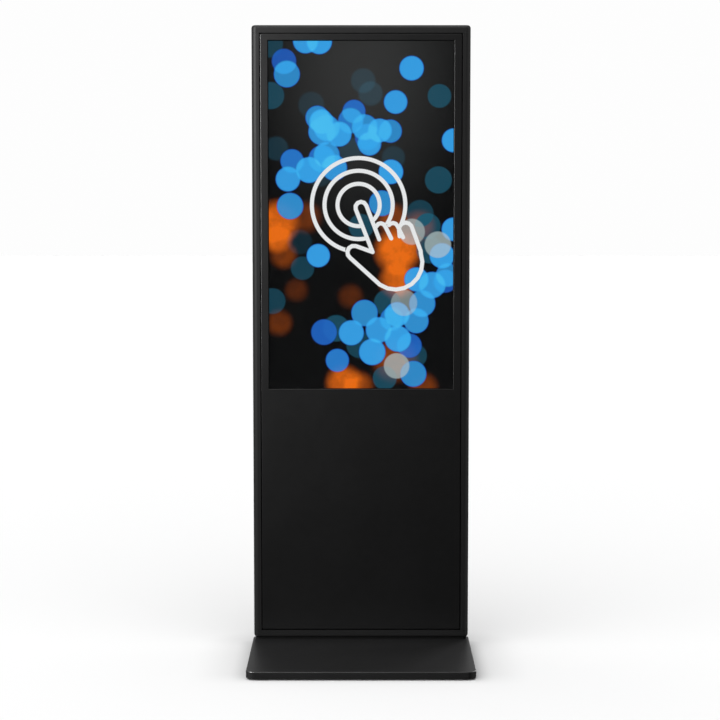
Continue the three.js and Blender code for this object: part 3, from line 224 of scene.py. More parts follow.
# ------------------------------------------------------------------------------ surfaces
class Shape:
    """Closed surfaces gathered into one piece's mesh."""

    def __init__(self):
        self.points = []
        self.faces = []
        self.count = 0

    def add(self, points, faces):
        """Adds points, and faces that number those points from zero."""
        self.faces += [[corner + self.count for corner in face] for face in faces]
        self.points.append(points)
        self.count += len(points)
        return self

    def loft(self, rings, closed=False):
        """Rings of equally many points, each joined to the next by quads. The first and the last ring are
        filled, or joined to each other when the loft is closed."""
        rings = np.asarray(rings, float)
        rows, columns = rings.shape[:2]
        row = np.arange(rows if closed else rows - 1)[:, None]
        column = np.arange(columns)[None, :]
        over, along = (row + 1) % rows, (column + 1) % columns
        here, after = row * columns, over * columns
        quad = [here + column, here + along, after + along, after + column]
        quads = np.stack(np.broadcast_arrays(*quad), axis=-1).reshape(-1, 4).tolist()
        if not closed:
            quads += [list(range(columns))[::-1], list(range((rows - 1) * columns, rows * columns))]
        return self.add(rings.reshape(-1, 3), quads)

    def turned(self, profile, centre, axis="Z", steps=ROUND_STEPS):
        """A profile of (radius, distance along the axis) carried round the axis through centre:
        (r cos a, r sin a, d) about Z, or (r cos a, d, r sin a) about Y."""
        radius, along = np.asarray(profile, float).T[:, :, None]
        angle = np.radians(np.arange(steps) * 360 / steps)[None, :]
        across, up = radius * np.cos(angle), radius * np.sin(angle)
        along = along + 0 * angle
        order = [across, up, along] if axis == "Z" else [across, along, up]
        return self.loft(np.stack(order, axis=-1) + np.array(centre))

    def prism(self, loops, low, high, place):
        """An outline with holes, loops[0] and the rest, carried from low to high; place turns an outline
        and a distance into points."""
        count = sum(map(len, loops))
        flat = [[Vector((x, y, 0)) for x, y in loop] for loop in loops]
        cap = [list(triangle) for triangle in tessellate_polygon(flat)]
        faces = cap + [[corner + count for corner in face[::-1]] for face in cap]
        first = 0
        for loop in loops:
            here = np.arange(len(loop)) + first
            after = np.roll(here, -1)
            faces += np.stack([here, after, after + count, here + count], axis=1).tolist()
            first += len(loop)
        outline = np.concatenate(loops)
        return self.add(np.concatenate([place(outline, low), place(outline, high)]), faces)

    def block(self, low, high):
        """A rectangular block between two corners."""
        outline = rectangle(low[:2], high[:2])
        return self.loft([in_plan(outline, low[2]), in_plan(outline, high[2])])

    def mesh(self, name):
        """The gathered faces with their doubles merged and every face turned outwards."""
        made = bpy.data.meshes.new(name)
        made.from_pydata(np.concatenate(self.points).tolist(), [], self.faces)
        edit = bmesh.new()
        edit.from_mesh(made)
        bmesh.ops.remove_doubles(edit, verts=edit.verts, dist=MERGE_DISTANCE)
        bmesh.ops.recalc_face_normals(edit, faces=edit.faces)
        edit.to_mesh(made)
        edit.free()
        return made


def finish_piece(name, mesh, material, ease=0.0, sharp=SHARP_ANGLE):
    """An object for a mesh, smooth but for its sharp edges, which are eased by a bevel."""
    made = bpy.data.objects.new(name, mesh)
    bpy.context.scene.collection.objects.link(made)
    mesh.materials.clear()
    mesh.materials.append(material)
    mesh.shade_smooth()
    if ease > 0:
        bevel = made.modifiers.new("eased edges", "BEVEL")
        bevel.width = ease
        bevel.segments = BEVEL_SEGMENTS
        bevel.limit_method = "ANGLE"
        bevel.angle_limit = sharp
        bevel.use_clamp_overlap = False
        bevel.harden_normals = True
    else:
        mesh.set_sharp_from_angle(angle=sharp)
        weighted = made.modifiers.new("flat faces", "WEIGHTED_NORMAL")
        weighted.keep_sharp = True
    return made


def stand_for(made, *nodes):
    """Puts a finished piece in its CAD nodes' place, on their body and with their material slot."""
    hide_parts(*nodes)
    return join_to(made, nodes[0])


def join_to(made, node):
    """A further piece that goes with a CAD node's body and material slot."""
    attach(made, BODY_OF[node])
    return made


def make_piece(node, shape, material, ease=0.0):
    """A shape finished and put in its CAD node's place."""
    return stand_for(finish_piece(node + "_finished", shape.mesh(node), material, ease), node)


def add_piece(name, node, shape, material, ease=0.0):
    """A shape finished and added beside a CAD node."""
    return join_to(finish_piece(name, shape.mesh(name), material, ease), node)


def eased_copy(node, material, ease, sharp=CAD_SMOOTH_ANGLE):
    """The CAD node's own shape, its triangles merged into flat faces and its edges eased."""
    mesh = frame["nodes"][node].data.copy()
    edit = bmesh.new()
    edit.from_mesh(mesh)
    bmesh.ops.remove_doubles(edit, verts=edit.verts, dist=MERGE_DISTANCE)
    bmesh.ops.dissolve_limit(
        edit, angle_limit=FLAT_ANGLE, verts=edit.verts, edges=edit.edges, use_dissolve_boundaries=False)
    edit.to_mesh(mesh)
    edit.free()
    return stand_for(finish_piece(node + "_finished", mesh, material, ease, sharp), node)


def paint_node(node, material):
    """Gives a CAD node that stays as it is its finish."""
    slots = frame["nodes"][node].data.materials
    slots.clear()
    slots.append(material)


def corners(node):
    """A CAD node's lowest and highest corners as arrays."""
    low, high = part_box(node)
    return np.array(low), np.array(high)


# ------------------------------------------------------------------------------ shader expressions
class Wire:
    """A shader socket that takes part in sums: each operator adds the Math node that works it out."""

    def __init__(self, shader, socket):
        self.shader = shader
        self.socket = socket

    def math(self, operation, *others):
        return self.shader.add("ShaderNodeMath", {"operation": operation}, dict(enumerate((self, *others))))

    def reflected(self, operation, other):
        return self.shader.add("ShaderNodeMath", {"operation": operation}, {0: other, 1: self})

    def __add__(self, other):
        return self.math("ADD", other)

    __radd__ = __add__

    def __sub__(self, other):
        return self.math("SUBTRACT", other)

    def __rsub__(self, other):
        return self.reflected("SUBTRACT", other)

    def __mul__(self, other):
        return self.math("MULTIPLY", other)

    __rmul__ = __mul__

    def __truediv__(self, other):
        return self.math("DIVIDE", other)

    def __abs__(self):
        return self.math("ABSOLUTE")

    def __gt__(self, other):
        return self.math("GREATER_THAN", other)

    def __lt__(self, other):
        return self.math("LESS_THAN", other)


class Shader:
    """A material's or the world's node tree, built up by one method."""

    def __init__(self, owner):
        owner.use_nodes = True
        self.owner = owner
        self.tree = owner.node_tree
        self.tree.nodes.clear()

    def add(self, kind, settings=None, sockets=None, output=0):
        """A node of that kind: its settings are set first, then its sockets get values or wires."""
        node = self.tree.nodes.new(kind)
        for name, value in (settings or {}).items():
            if name == "stops":
                self.set_stops(node.color_ramp, value)
            else:
                setattr(node, name, value)
        for key, value in (sockets or {}).items():
            if isinstance(value, Wire):
                self.tree.links.new(value.socket, node.inputs[key])
            else:
                node.inputs[key].default_value = value
        return Wire(self, node.outputs[output])

    @staticmethod
    def set_stops(ramp, stops):
        """Gives a colour ramp its (place, colour) stops."""
        while len(ramp.elements) < len(stops):
            ramp.elements.new(0.5)
        for element, (place, colour) in zip(ramp.elements, stops):
            element.position = place
            element.color = (*colour, 1)

    def place(self, scale=None):
        """Object coordinates, stretched by scale."""
        where = self.add("ShaderNodeTexCoord", output="Object")
        if scale is None:
            return where
        return self.add("ShaderNodeMapping", None, {"Vector": where, "Scale": scale})

    def noise(self, scale, detail, roughness, where=None):
        """Smooth noise from about 0.3 to 0.7."""
        sockets = {"Vector": where or self.place(), "Scale": scale, "Detail": detail, "Roughness": roughness}
        return self.add("ShaderNodeTexNoise", None, sockets)

    def steps(self, value, low, high, to_low=0.0, to_high=1.0):
        """value carried smoothly from low..high to to_low..to_high, with flat ends."""
        sockets = {"Value": value, "From Min": low, "From Max": high, "To Min": to_low, "To Max": to_high}
        return self.add("ShaderNodeMapRange", {"interpolation_type": "SMOOTHSTEP"}, sockets)

    def vector(self, operation, first, second=None, output=0):
        """A Vector Math node on one or two vectors."""
        sockets = {0: first} if second is None else {0: first, 1: second}
        return self.add("ShaderNodeVectorMath", {"operation": operation}, sockets, output)

    def cells(self, scale, output=0):
        """A cellular pattern: the distance to the nearest cell's middle, or that cell's own colour."""
        sockets = {"Vector": self.place(), "Scale": scale}
        return self.add("ShaderNodeTexVoronoi", {"feature": "F1"}, sockets, output)

    def blend(self, factor, first, second, how="MIX"):
        """A colour mixed from two by factor, or blended another way."""
        sockets = {0: factor, 6: as_colour(first), 7: as_colour(second)}
        return self.add("ShaderNodeMix", {"data_type": "RGBA", "blend_type": how}, sockets, output=2)

    def bump(self, height, distance):
        """The normal of a surface raised by height times distance."""
        return self.add("ShaderNodeBump", None, {"Height": height, "Distance": distance, "Strength": 1.0})

    def surface(self, **sockets):
        """The Principled surface with those sockets, as the material's output. Names have _ for a space."""
        named = {key.replace("_", " "): as_colour(value) if key in COLOUR_SOCKETS else value
                 for key, value in sockets.items()}
        shade = self.add("ShaderNodeBsdfPrincipled", None, named)
        self.add_output("ShaderNodeOutputMaterial", shade)
        return self.owner

    def add_output(self, kind, shade):
        """The tree's output node."""
        node = self.tree.nodes.new(kind)
        self.tree.links.new(shade.socket, node.inputs["Surface"])


COLOUR_SOCKETS = ("Base_Color", "Emission_Color")


def as_colour(value):
    """A constant colour gets its fourth number; a wire stays as it is."""
    return value if isinstance(value, Wire) or np.ndim(value) == 0 else (*value[:3], 1.0)


def shared(name):
    """Marks a function that makes a material, so that it's made once and kept in MATERIALS."""
    def keep(make):
        def get(*values):
            if name not in MATERIALS:
                MATERIALS[name] = make(Shader(bpy.data.materials.new(name)), *values)
            return MATERIALS[name]
        return get
    return keep


def shade(colour, factor):
    """A colour made lighter or darker by a factor."""
    return tuple(part * factor for part in colour)


# ------------------------------------------------------------------------------ finishes
def powder_coat(shader, colour, roughness, grain, index=1.5):
    """Satin powder coat: a fine orange peel, a faint mottle in its gloss, and dust that lightens it."""
    mottle = shader.noise(7, 4, 0.6)
    patches = shader.noise(55, 3, 0.55)
    peel = shader.noise(620, 2, 0.5)
    speck = shader.noise(1900, 1, 0.5)
    base = shader.blend(shader.steps(mottle, 0.3, 0.7), shade(colour, 0.92), shade(colour, 1.1))
    dust = shader.steps(speck, 0.66, 0.74, 0, 0.25)
    base = shader.blend(dust, base, shade(colour, 3.0))
    gloss = roughness + (mottle - 0.5) * 0.03 + (patches - 0.5) * 0.04 + (speck - 0.5) * 0.06
    height = peel * 0.7 + speck * 0.3
    return shader.surface(Base_Color=base, Roughness=gloss, Normal=shader.bump(height, grain), IOR=index)


@shared("fascia_powder_coat")
def fascia_paint(shader, colour):
    """The fascia's satin coat."""
    return powder_coat(shader, colour, 0.36, 0.00003, 1.4)


@shared("base_powder_coat")
def base_paint(shader, colour):
    """The base's slightly glossier coat."""
    return powder_coat(shader, shade(colour, 1.3), 0.36, 0.00004, 1.46)


@shared("cover_powder_coat")
def cover_paint(shader, colour):
    """The coarser coat of the rear covers and the door."""
    return powder_coat(shader, shade(colour, 4.5), 0.46, 0.00008)


@shared("anodised_aluminium")
def anodised(shader, colour):
    """Satin black anodising on extruded aluminium: fine die lines along its length."""
    lines = shader.noise(1, 2, 0.6, shader.place((1500, 1500, 2.5)))
    broad = shader.noise(1, 2, 0.5, shader.place((260, 260, 0.7)))
    cloud = shader.noise(5, 3, 0.55)
    base = shader.blend(shader.steps(lines, 0.3, 0.7), shade(colour, 0.8), shade(colour, 1.35))
    gloss = 0.52 + (cloud - 0.5) * 0.06 + (lines - 0.5) * 0.12 + (broad - 0.5) * 0.06
    normal = shader.bump(lines * 0.6 + broad * 0.4, 0.00002)
    return shader.surface(Base_Color=base, Roughness=gloss, Metallic=0.25, Normal=normal, IOR=1.55)


@shared("matt_black_steel")
def matt_steel(shader):
    """Thin matt black paint on plain steel."""
    grain = shader.noise(900, 3, 0.6)
    cloud = shader.noise(12, 3, 0.5)
    base = shader.blend(cloud, (0.006, 0.006, 0.006), (0.016, 0.016, 0.017))
    return shader.surface(
        Base_Color=base, Roughness=0.62 + (cloud - 0.5) * 0.15, Normal=shader.bump(grain, 0.00004))


@shared("plinth_shade_black")
def plinth_shade_black(shader):
    """The plinth between the body and the base: its own matt black, darkened to near black as painted shade
    for its recess under the body.
    """
    cloud = shader.noise(30, 3, 0.5)
    grain = shader.noise(900, 2, 0.5)
    # painted shade: a near-black colour standing in for the shade in the plinth's recess, beyond the plinth's
    # own matt black
    base = shader.blend(cloud, (0.0007, 0.0007, 0.0007), (0.0016, 0.0016, 0.0016))
    return shader.surface(
        Base_Color=base, Roughness=0.85 + (grain - 0.5) * 0.1, IOR=1.2, Normal=shader.bump(grain, 0.00003))


@shared("zinc_plated_steel")
def zinc_steel(shader):
    """Zinc plating: bright, slightly clouded, with rolling lines."""
    cloud = shader.noise(30, 4, 0.6)
    lines = shader.noise(1, 2, 0.6, shader.place((40, 40, 1400)))
    base = shader.blend(cloud, (0.42, 0.43, 0.43), (0.66, 0.67, 0.66))
    gloss = 0.30 + (cloud - 0.5) * 0.2 + (lines - 0.5) * 0.1
    return shader.surface(
        Base_Color=base, Roughness=gloss, Metallic=1.0, Normal=shader.bump(lines, 0.00001))


@shared("black_zinc_screw")
def zinc_black(shader):
    """Black-zinc screw heads, bright in places on their recess edges."""
    wear = shader.noise(900, 3, 0.6)
    base = shader.blend(shader.steps(wear, 0.6, 0.75), (0.03, 0.03, 0.032), (0.20, 0.20, 0.21))
    gloss = 0.34 + (wear - 0.5) * 0.2
    return shader.surface(
        Base_Color=base, Roughness=gloss, Metallic=0.8, Normal=shader.bump(wear, 0.00001))


@shared("galvanised_sheet")
def galvanised(shader):
    """Hot-dip galvanised sheet: flat crystals, each of its own brightness."""
    crystal = shader.cells(90.0, "Color")
    level = shader.add("ShaderNodeSeparateColor", None, {"Color": crystal})
    fine = shader.noise(500, 3, 0.6)
    base = shader.blend(level, (0.36, 0.37, 0.38), (0.60, 0.61, 0.62))
    gloss = 0.32 + level * 0.18 + (fine - 0.5) * 0.1
    return shader.surface(
        Base_Color=base, Roughness=gloss, Metallic=1.0, Normal=shader.bump(fine, 0.00001))


@shared("brushed_stainless")
def brushed_stainless(shader):
    """Stainless steel brushed across its width."""
    lines = shader.noise(1, 3, 0.7, shader.place((30, 30, 4000)))
    base = shader.blend(lines, (0.42, 0.42, 0.41), (0.62, 0.62, 0.60))
    return shader.surface(
        Base_Color=base, Roughness=0.26 + (lines - 0.5) * 0.2, Metallic=1.0,
        Normal=shader.bump(lines, 0.00001))


@shared("polished_chrome")
def polished_chrome(shader):
    """Chrome with faint wear marks."""
    wear = shader.noise(260, 4, 0.65)
    base = shader.blend(wear, (0.52, 0.53, 0.54), (0.66, 0.67, 0.68))
    return shader.surface(
        Base_Color=base, Roughness=0.08 + shader.steps(wear, 0.5, 0.8) * 0.2, Metallic=1.0,
        Normal=shader.bump(wear, 0.000004))


@shared("nickel_brass")
def nickel_brass(shader):
    """Nickel-plated brass, warmer where keys have rubbed it."""
    wear = shader.noise(420, 3, 0.6)
    base = shader.blend(shader.steps(wear, 0.45, 0.75), (0.55, 0.54, 0.50), (0.62, 0.50, 0.28))
    return shader.surface(
        Base_Color=base, Roughness=0.22 + (wear - 0.5) * 0.15, Metallic=1.0,
        Normal=shader.bump(wear, 0.000006))


@shared("mill_steel")
def mill_steel(shader):
    """Hot-rolled plate with its blue-grey mill scale."""
    scale = shader.noise(18, 5, 0.65)
    pits = shader.noise(300, 3, 0.6)
    base = shader.blend(shader.steps(scale, 0.35, 0.65), (0.035, 0.037, 0.042), (0.11, 0.105, 0.10))
    gloss = 0.5 + (scale - 0.5) * 0.3
    return shader.surface(
        Base_Color=base, Roughness=gloss, Metallic=0.7, Normal=shader.bump(pits, 0.00005))


@shared("black_rubber")
def black_rubber(shader):
    """Matt rubber with a fine moulded grain and a little dust."""
    grain = shader.noise(1100, 2, 0.6)
    dust = shader.noise(60, 4, 0.6)
    dusted = shader.steps(dust, 0.5, 0.75, 0, 0.5)
    base = shader.blend(dusted, (0.010, 0.010, 0.010), (0.030, 0.029, 0.027))
    gloss = 0.8 + (dust - 0.5) * 0.1
    return shader.surface(Base_Color=base, Roughness=gloss, Normal=shader.bump(grain, 0.00006))


@shared("closed_cell_foam")
def foam(shader):
    """Black closed-cell foam: small round cells."""
    cells = shader.cells(1600.0)
    base = shader.blend(cells, (0.004, 0.004, 0.004), (0.012, 0.012, 0.012))
    return shader.surface(Base_Color=base, Roughness=0.9, Normal=shader.bump(cells, 0.0001))


@shared("moulded_plastic")
def moulded_plastic(shader):
    """Black plastic with a spark-eroded mould texture."""
    grain = shader.noise(1500, 2, 0.6)
    cloud = shader.noise(20, 2, 0.5)
    base = shader.blend(cloud, (0.008, 0.008, 0.008), (0.018, 0.018, 0.018))
    gloss = 0.46 + (grain - 0.5) * 0.2
    return shader.surface(Base_Color=base, Roughness=gloss, Normal=shader.bump(grain, 0.00005), IOR=1.46)


@shared("rocker_plastic")
def rocker_plastic(shader):
    """The rocker's smoother black plastic, polished where fingers press it."""
    grain = shader.noise(700, 2, 0.5)
    rub = shader.noise(90, 2, 0.5)
    base = shader.blend(rub, (0.010, 0.010, 0.010), (0.022, 0.022, 0.022))
    gloss = 0.20 + shader.steps(rub, 0.4, 0.65) * 0.2
    return shader.surface(Base_Color=base, Roughness=gloss, Normal=shader.bump(grain, 0.00001), IOR=1.5)


@shared("cable_sheath")
def cable_sheath(shader):
    """Soft black cable sheath, faintly ringed by its extrusion."""
    rings = shader.noise(1, 2, 0.5, shader.place((60, 60, 900)))
    base = shader.blend(rings, (0.009, 0.009, 0.009), (0.017, 0.017, 0.017))
    return shader.surface(
        Base_Color=base, Roughness=0.55 + (rings - 0.5) * 0.15, Normal=shader.bump(rings, 0.00002))


@shared("circuit_board")
def board_mask(shader, colour):
    """Green solder mask over copper: tracks in two directions on a fine grid, and pads between them."""
    upright = {"Vector": shader.place(), "Rotation": (math.radians(90), 0, 0)}
    across = shader.add("ShaderNodeTexBrick", {"offset": 0.5}, {
        "Vector": shader.add("ShaderNodeMapping", None, upright),
        "Scale": 1.0, "Brick Width": 0.016, "Row Height": 0.0022, "Mortar Size": 0.0004}, output="Fac")
    pads = shader.cells(420.0)
    copper = (1 - across) * shader.steps(shader.noise(45, 2, 0.5), 0.45, 0.55)
    base = shader.blend(copper, colour, shade(colour, 1.8))
    base = shader.blend(shader.steps(pads, 0.16, 0.20, 1, 0) * 0.8, base, (0.50, 0.48, 0.38))
    gloss = 0.28 + copper * 0.1
    return shader.surface(
        Base_Color=base, Roughness=gloss, Normal=shader.bump(copper, 0.00003), Coat_Weight=0.3)


@shared("chip_plastic")
def chip_plastic(shader):
    """The dull epoxy of chips and connectors."""
    grain = shader.noise(1300, 2, 0.5)
    base = shader.blend(grain, (0.012, 0.012, 0.013), (0.030, 0.030, 0.031))
    gloss = 0.5 + (grain - 0.5) * 0.2
    return shader.surface(Base_Color=base, Roughness=gloss, Normal=shader.bump(grain, 0.00003))


@shared("supply_case")
def supply_case(shader):
    """Zinc-plated sheet pressed with rows of small round vents on its large faces, each vent painted near
    black as painted shade for the dark inside seen through it.
    """
    pitch = 6 * MM
    cell = shader.vector("FRACTION", shader.place((1 / pitch,) * 3))
    centred = shader.vector("SUBTRACT", cell, (0.5, 0.5, 0.5))
    reach = shader.vector("LENGTH", shader.vector("MULTIPLY", centred, (1, 0, 1)), output="Value")
    hole = shader.steps(reach, 0.26, 0.32, 1, 0)
    cloud = shader.noise(40, 3, 0.6)
    zinc = shader.blend(cloud, (0.42, 0.43, 0.43), (0.62, 0.63, 0.63))
    # painted shade: each vent hole gets a near-black colour in place of the shaded inside seen through it
    base = shader.blend(hole, zinc, (0.004, 0.004, 0.004))
    return shader.surface(
        Base_Color=base, Roughness=0.32 + (cloud - 0.5) * 0.2, Metallic=1 - hole,
        Normal=shader.bump(1 - hole, 0.0004))


@shared("paper_cone")
def paper_cone(shader):
    """A loudspeaker's pressed paper cone."""
    fibre = shader.noise(700, 4, 0.7)
    base = shader.blend(fibre, (0.014, 0.014, 0.014), (0.035, 0.034, 0.032))
    return shader.surface(Base_Color=base, Roughness=0.75, Normal=shader.bump(fibre, 0.0001))


@shared("clear_acrylic")
def clear_acrylic(shader):
    """The light guide: acrylic with a printed grid of white dots."""
    dots = shader.cells(500.0)
    base = shader.blend(shader.steps(dots, 0.2, 0.3, 1, 0), (0.70, 0.74, 0.76), (0.86, 0.88, 0.88))
    return shader.surface(Base_Color=base, Roughness=0.12, Transmission_Weight=0.3, IOR=1.49)


@shared("toughened_glass")
def toughened_glass(shader):
    """Clear toughened glass with the faint waviness of its rollers and a few finger marks."""
    wave = shader.noise(9, 2, 0.4)
    marks = shader.noise(40, 5, 0.65)
    gloss = shader.steps(marks, 0.62, 0.80, 0.0, 0.10)
    return shader.surface(
        Base_Color=(0.96, 0.98, 0.975), Roughness=gloss, Transmission_Weight=1.0, IOR=1.45,
        Normal=shader.bump(wave, 0.00002))


# ------------------------------------------------------------------------------ the screen's picture
# Places are (x, z) in millimetres from the middle of the window.
DISC_RADIUS = 36.5
DISCS = {
    "bright": [
        (-157, 494), (-118, 492), (-210, 400), (143, 417), (98, 322), (-124, 278), (-112, 267), (-97, 249),
        (-112, 238), (-62, 231), (11, 251), (24, 204), (53, 242), (83, 240), (263, 214), (-208, 104),
        (-202, 28), (-148, 130), (-97, 172), (-76, 136), (85, 125), (59, 36), (263, -38), (-122, -113),
        (247, -168), (158, -181), (203, -197), (175, -250), (103, -281), (158, -300), (50, -326),
        (105, -351), (10, -277), (-28, -334), (32, -389), (150, -452), (231, -113),
    ],
    "deep": [
        (-20, 296), (-30, 269), (18, 223), (-196, 156), (-112, 162), (241, -187), (88, -294), (139, -371),
        (-106, -332), (-68, -413), (-218, 437),
    ],
    "teal": [
        (-256, 340), (220, 102), (168, 7), (190, -29), (196, -97), (-167, -149), (-71, -321), (-4, -368),
        (155, -400), (222, 339), (-253, -243), (0, -30), (75, -248), (-259, 485), (68, -464),
    ],
    "faint": [
        (6, 382), (27, 346), (-141, 314), (-240, 191), (92, 165), (-175, -74), (-30, 188), (-118, 120),
    ],
    "pale": [(145, -45), (219, -82), (123, -248), (102, -429)],
}
BLURS = [  # x, z, radius, strength
    (-236, -16, 58, 0.95), (-240, -66, 40, 0.8), (-157, -4, 45, 0.16), (104, -100, 62, 1.15),
    (90, -8, 44, 0.30), (104, -184, 50, 0.85), (-30, -230, 36, 0.10), (-184, -212, 34, 0.10),
    (-234, -305, 38, 0.16), (-49, -478, 50, 0.85), (97, -412, 62, 0.32), (-221, -113, 38, 0.22),
    (165, -30, 45, 0.35), (-10, -490, 45, 0.4), (180, -490, 40, 0.25),
]
RING_CENTRE = (-7, 31)
RING_RADII = (60, 97, 133)
STROKE = 11.5
STROKE_BLUR = 0.8
PICTURE_SIZE = (525, 987)


def hand_strokes():
    """The pictogram's hand as lines of points: the pointing finger, three knuckles and the palm."""
    finger = np.concatenate([[(33, -103)], arc((0, 24), 16, 200, 20, 5), [(52, -67)]])
    first = np.concatenate([[(42, -32)], arc((56, -35), 14, 120, 20, 3), [(86, -64)]])
    second = np.concatenate([[(80, -26)], arc((91, -34), 14, 120, 20, 3), [(120, -61)]])
    back = np.concatenate([[(110, -58)], arc((127, -38), 19, 190, 30, 5), [(170, -100)]])
    heel = arc((98, -133), 77, 20, -125, 8)
    thumb = arc((-20, -104), 19, 235, 75, 5)
    palm = np.concatenate([heel, thumb, [(33, -103)]])
    return [finger, first, second, back, np.concatenate([back[-1:], palm])]


def segment_distance(shader, point, start, end):
    """Distance from point to the line between start and end: |p - a - t b| with t = (p - a).b / b.b, kept
    between 0 and 1."""
    along = (end[0] - start[0], 0.0, end[1] - start[1])
    length = along[0] ** 2 + along[2] ** 2
    offset = shader.vector("SUBTRACT", point, (start[0], 0.0, start[1]))
    dot = shader.vector("DOT_PRODUCT", offset, tuple(part / length for part in along), "Value")
    share = dot.math("MAXIMUM", 0.0).math("MINIMUM", 1.0)
    nearest = shader.add("ShaderNodeVectorMath", {"operation": "SCALE"}, {0: along, 3: share})
    return shader.vector("DISTANCE", offset, nearest, "Value")


def stroke(shader, distance):
    """1 on a line and 0 off it, from the distance to the line's middle."""
    return shader.steps(distance, STROKE / 2 - STROKE_BLUR, STROKE / 2 + STROKE_BLUR, 1, 0)


def pictogram(shader, point):
    """1 on the pictogram's lines: three rings round a fingertip, left out where the hand covers them."""
    x, _, z = split(shader, point)
    reach = None
    for line in hand_strokes():
        for start, end in zip(line[:-1], line[1:]):
            distance = segment_distance(shader, point, start.tolist(), end.tolist())
            reach = distance if reach is None else reach.math("MINIMUM", distance)
    radius = shader.vector("DISTANCE", point, (RING_CENTRE[0], 0, RING_CENTRE[1]), "Value")
    rings = None
    for size in RING_RADII:
        ring = stroke(shader, abs(radius - size))
        rings = ring if rings is None else rings.math("MAXIMUM", ring)
    across = x * 0.92 + z * 0.39  # across the leaning finger
    right_of_edge = across > -6
    finger = right_of_edge * (across < 23) * (z < 22)
    palm = right_of_edge * (z < -24)
    thumb = (x > -45) * (z < -92)
    covered = finger.math("MAXIMUM", palm).math("MAXIMUM", thumb)
    return stroke(shader, reach).math("MAXIMUM", rings * (1 - covered))


def split(shader, vector):
    """A vector's three parts as wires."""
    parts = shader.add("ShaderNodeSeparateXYZ", None, {0: vector})
    outputs = parts.socket.node.outputs
    return [Wire(shader, outputs[i]) for i in range(3)]


def disc_sum(shader, point, kind, softness):
    """How many discs of one kind cover the point, with soft edges. Sizes and strengths vary by sines."""
    total = None
    for number, (x, z) in enumerate(DISCS[kind]):
        size = DISC_RADIUS + 2.5 * math.sin(1.7 * number + x)
        strength = 1 + 0.2 * math.sin(2.3 * number)
        reach = shader.vector("DISTANCE", point, (x, 0, z), "Value")
        cover = shader.steps(reach, size - softness, size + softness / 2, strength, 0)
        total = cover if total is None else total + cover
    return total


def warm_glow(shader, point):
    """The warm blurs, each fading from its middle, made ragged by a slow noise."""
    total = None
    for x, z, size, strength in BLURS:
        reach = shader.vector("DISTANCE", point, (x, 0, z), "Value")
        glow = shader.steps(reach, size * 0.45, size * 1.25, strength, 0)
        total = glow if total is None else total + glow
    return total * shader.steps(shader.noise(30, 3, 0.6), 0.35, 0.65, 0.72, 1.0)


@shared("lit_screen")
def lit_screen(shader, colours, middle):
    """A lit picture: soft discs of light on a dark ground, with a touch-here pictogram over them."""
    shift = shader.vector("SUBTRACT", shader.place(), middle)
    scaled = shader.vector("MULTIPLY", shift, (1 / MM, 0, 1 / MM))
    x, _, z = split(shader, scaled)
    above = z - 440
    lit = 1 - shader.steps((x * x * 2.4 + above * above).math("SQRT"), 40, 580)
    picture = shader.blend(lit, (0.0035, 0.0035, 0.0038), tuple(colours.screen_ground))
    picture = shader.blend(
        warm_glow(shader, scaled), picture, tuple(colours.screen_orange), "ADD")
    faint = disc_sum(shader, scaled, "faint", 6)
    picture = shader.blend(faint * 0.22, picture, tuple(colours.screen_teal), "ADD")
    teal = disc_sum(shader, scaled, "teal", 3)
    picture = shader.blend(teal * 0.55, picture, tuple(colours.screen_teal))
    deep = disc_sum(shader, scaled, "deep", 5)
    bright = disc_sum(shader, scaled, "bright", 5)
    level = (bright + deep * 0.55) / 2.4
    blue = colours.screen_blue
    stops = [(0.0, (0, 0, 0)), (0.08, (0.010, 0.06, 0.38)), (0.18, (0.016, 0.14, 0.70)),
             (0.33, shade(blue, 0.68)), (0.42, shade(blue, 0.92)), (0.62, (0.040, 0.42, 0.92)),
             (1.0, (0.072, 0.56, 0.98))]
    sky = shader.add("ShaderNodeValToRGB", {"stops": stops}, {0: level})
    cover = shader.steps(level, 0.02, 0.30)
    picture = shader.blend(cover * 0.96, picture, sky)
    pale = disc_sum(shader, scaled, "pale", 3)
    picture = shader.blend(pale * 0.5, picture, (0.50, 0.60, 0.60))
    picture = shader.blend(pictogram(shader, scaled), picture, (0.86, 0.86, 0.87))
    inside = (abs(x) < PICTURE_SIZE[0] / 2) * (abs(z) < PICTURE_SIZE[1] / 2)
    picture = shader.blend(inside, (0.0015, 0.0015, 0.0015), picture)
    return shader.surface(
        Base_Color=(0.004, 0.004, 0.004), Roughness=0.5, Emission_Color=picture, Emission_Strength=1.0)


# ------------------------------------------------------------------------------ body frame
def rail_outline(sizes, side):
    """A side rail's section in plan: round outer corners, and two ledges on the inner side. The left rail's
    is the right rail's with x turned round."""
    low, high = corners("side_rail_right")
    front, rear = low[1], high[1]
    outer, ledge = high[0], low[0]
    inner = corners("front_fascia")[1][0] + FASCIA_GAP
    ledge_front = corners("front_fascia")[1][1] + 0.5 * MM
    rear_ledge = corners("rear_cover_upper")[0][1] - FIT
    thickness = 2.5 * MM
    shallow = rear_ledge - thickness
    nearest = inner - (inner - ledge) * 0.75
    round_front, round_rear = sizes.rail_front_radius, sizes.rail_rear_radius
    points = np.concatenate([
        [(inner, front)],
        arc((outer - round_front, front + round_front), round_front, -90, 0, ARC_STEPS),
        arc((outer - round_rear, rear - round_rear), round_rear, 0, 90, ARC_STEPS),
        [(inner, rear), (inner, rear_ledge), (nearest, rear_ledge), (nearest, shallow), (inner, shallow),
         (inner, ledge_front + thickness), (ledge, ledge_front + thickness), (ledge, ledge_front),
         (inner, ledge_front)],
    ])
    return points * (side, 1)


def rail_hollow(sizes, side):
    """The hollow inside a side rail's section."""
    low, high = corners("side_rail_right")
    wall = 2 * MM
    inner = corners("front_fascia")[1][0] + FASCIA_GAP
    front, rear = sizes.rail_front_radius - wall, sizes.rail_rear_radius - wall
    outline = rounded_outline(
        (inner + wall, low[1] + wall), (high[0] - wall, high[1] - wall), (front, rear, 1 * MM, 1 * MM),
        steps=SMALL_ARC_STEPS)
    return outline * (side, 1)


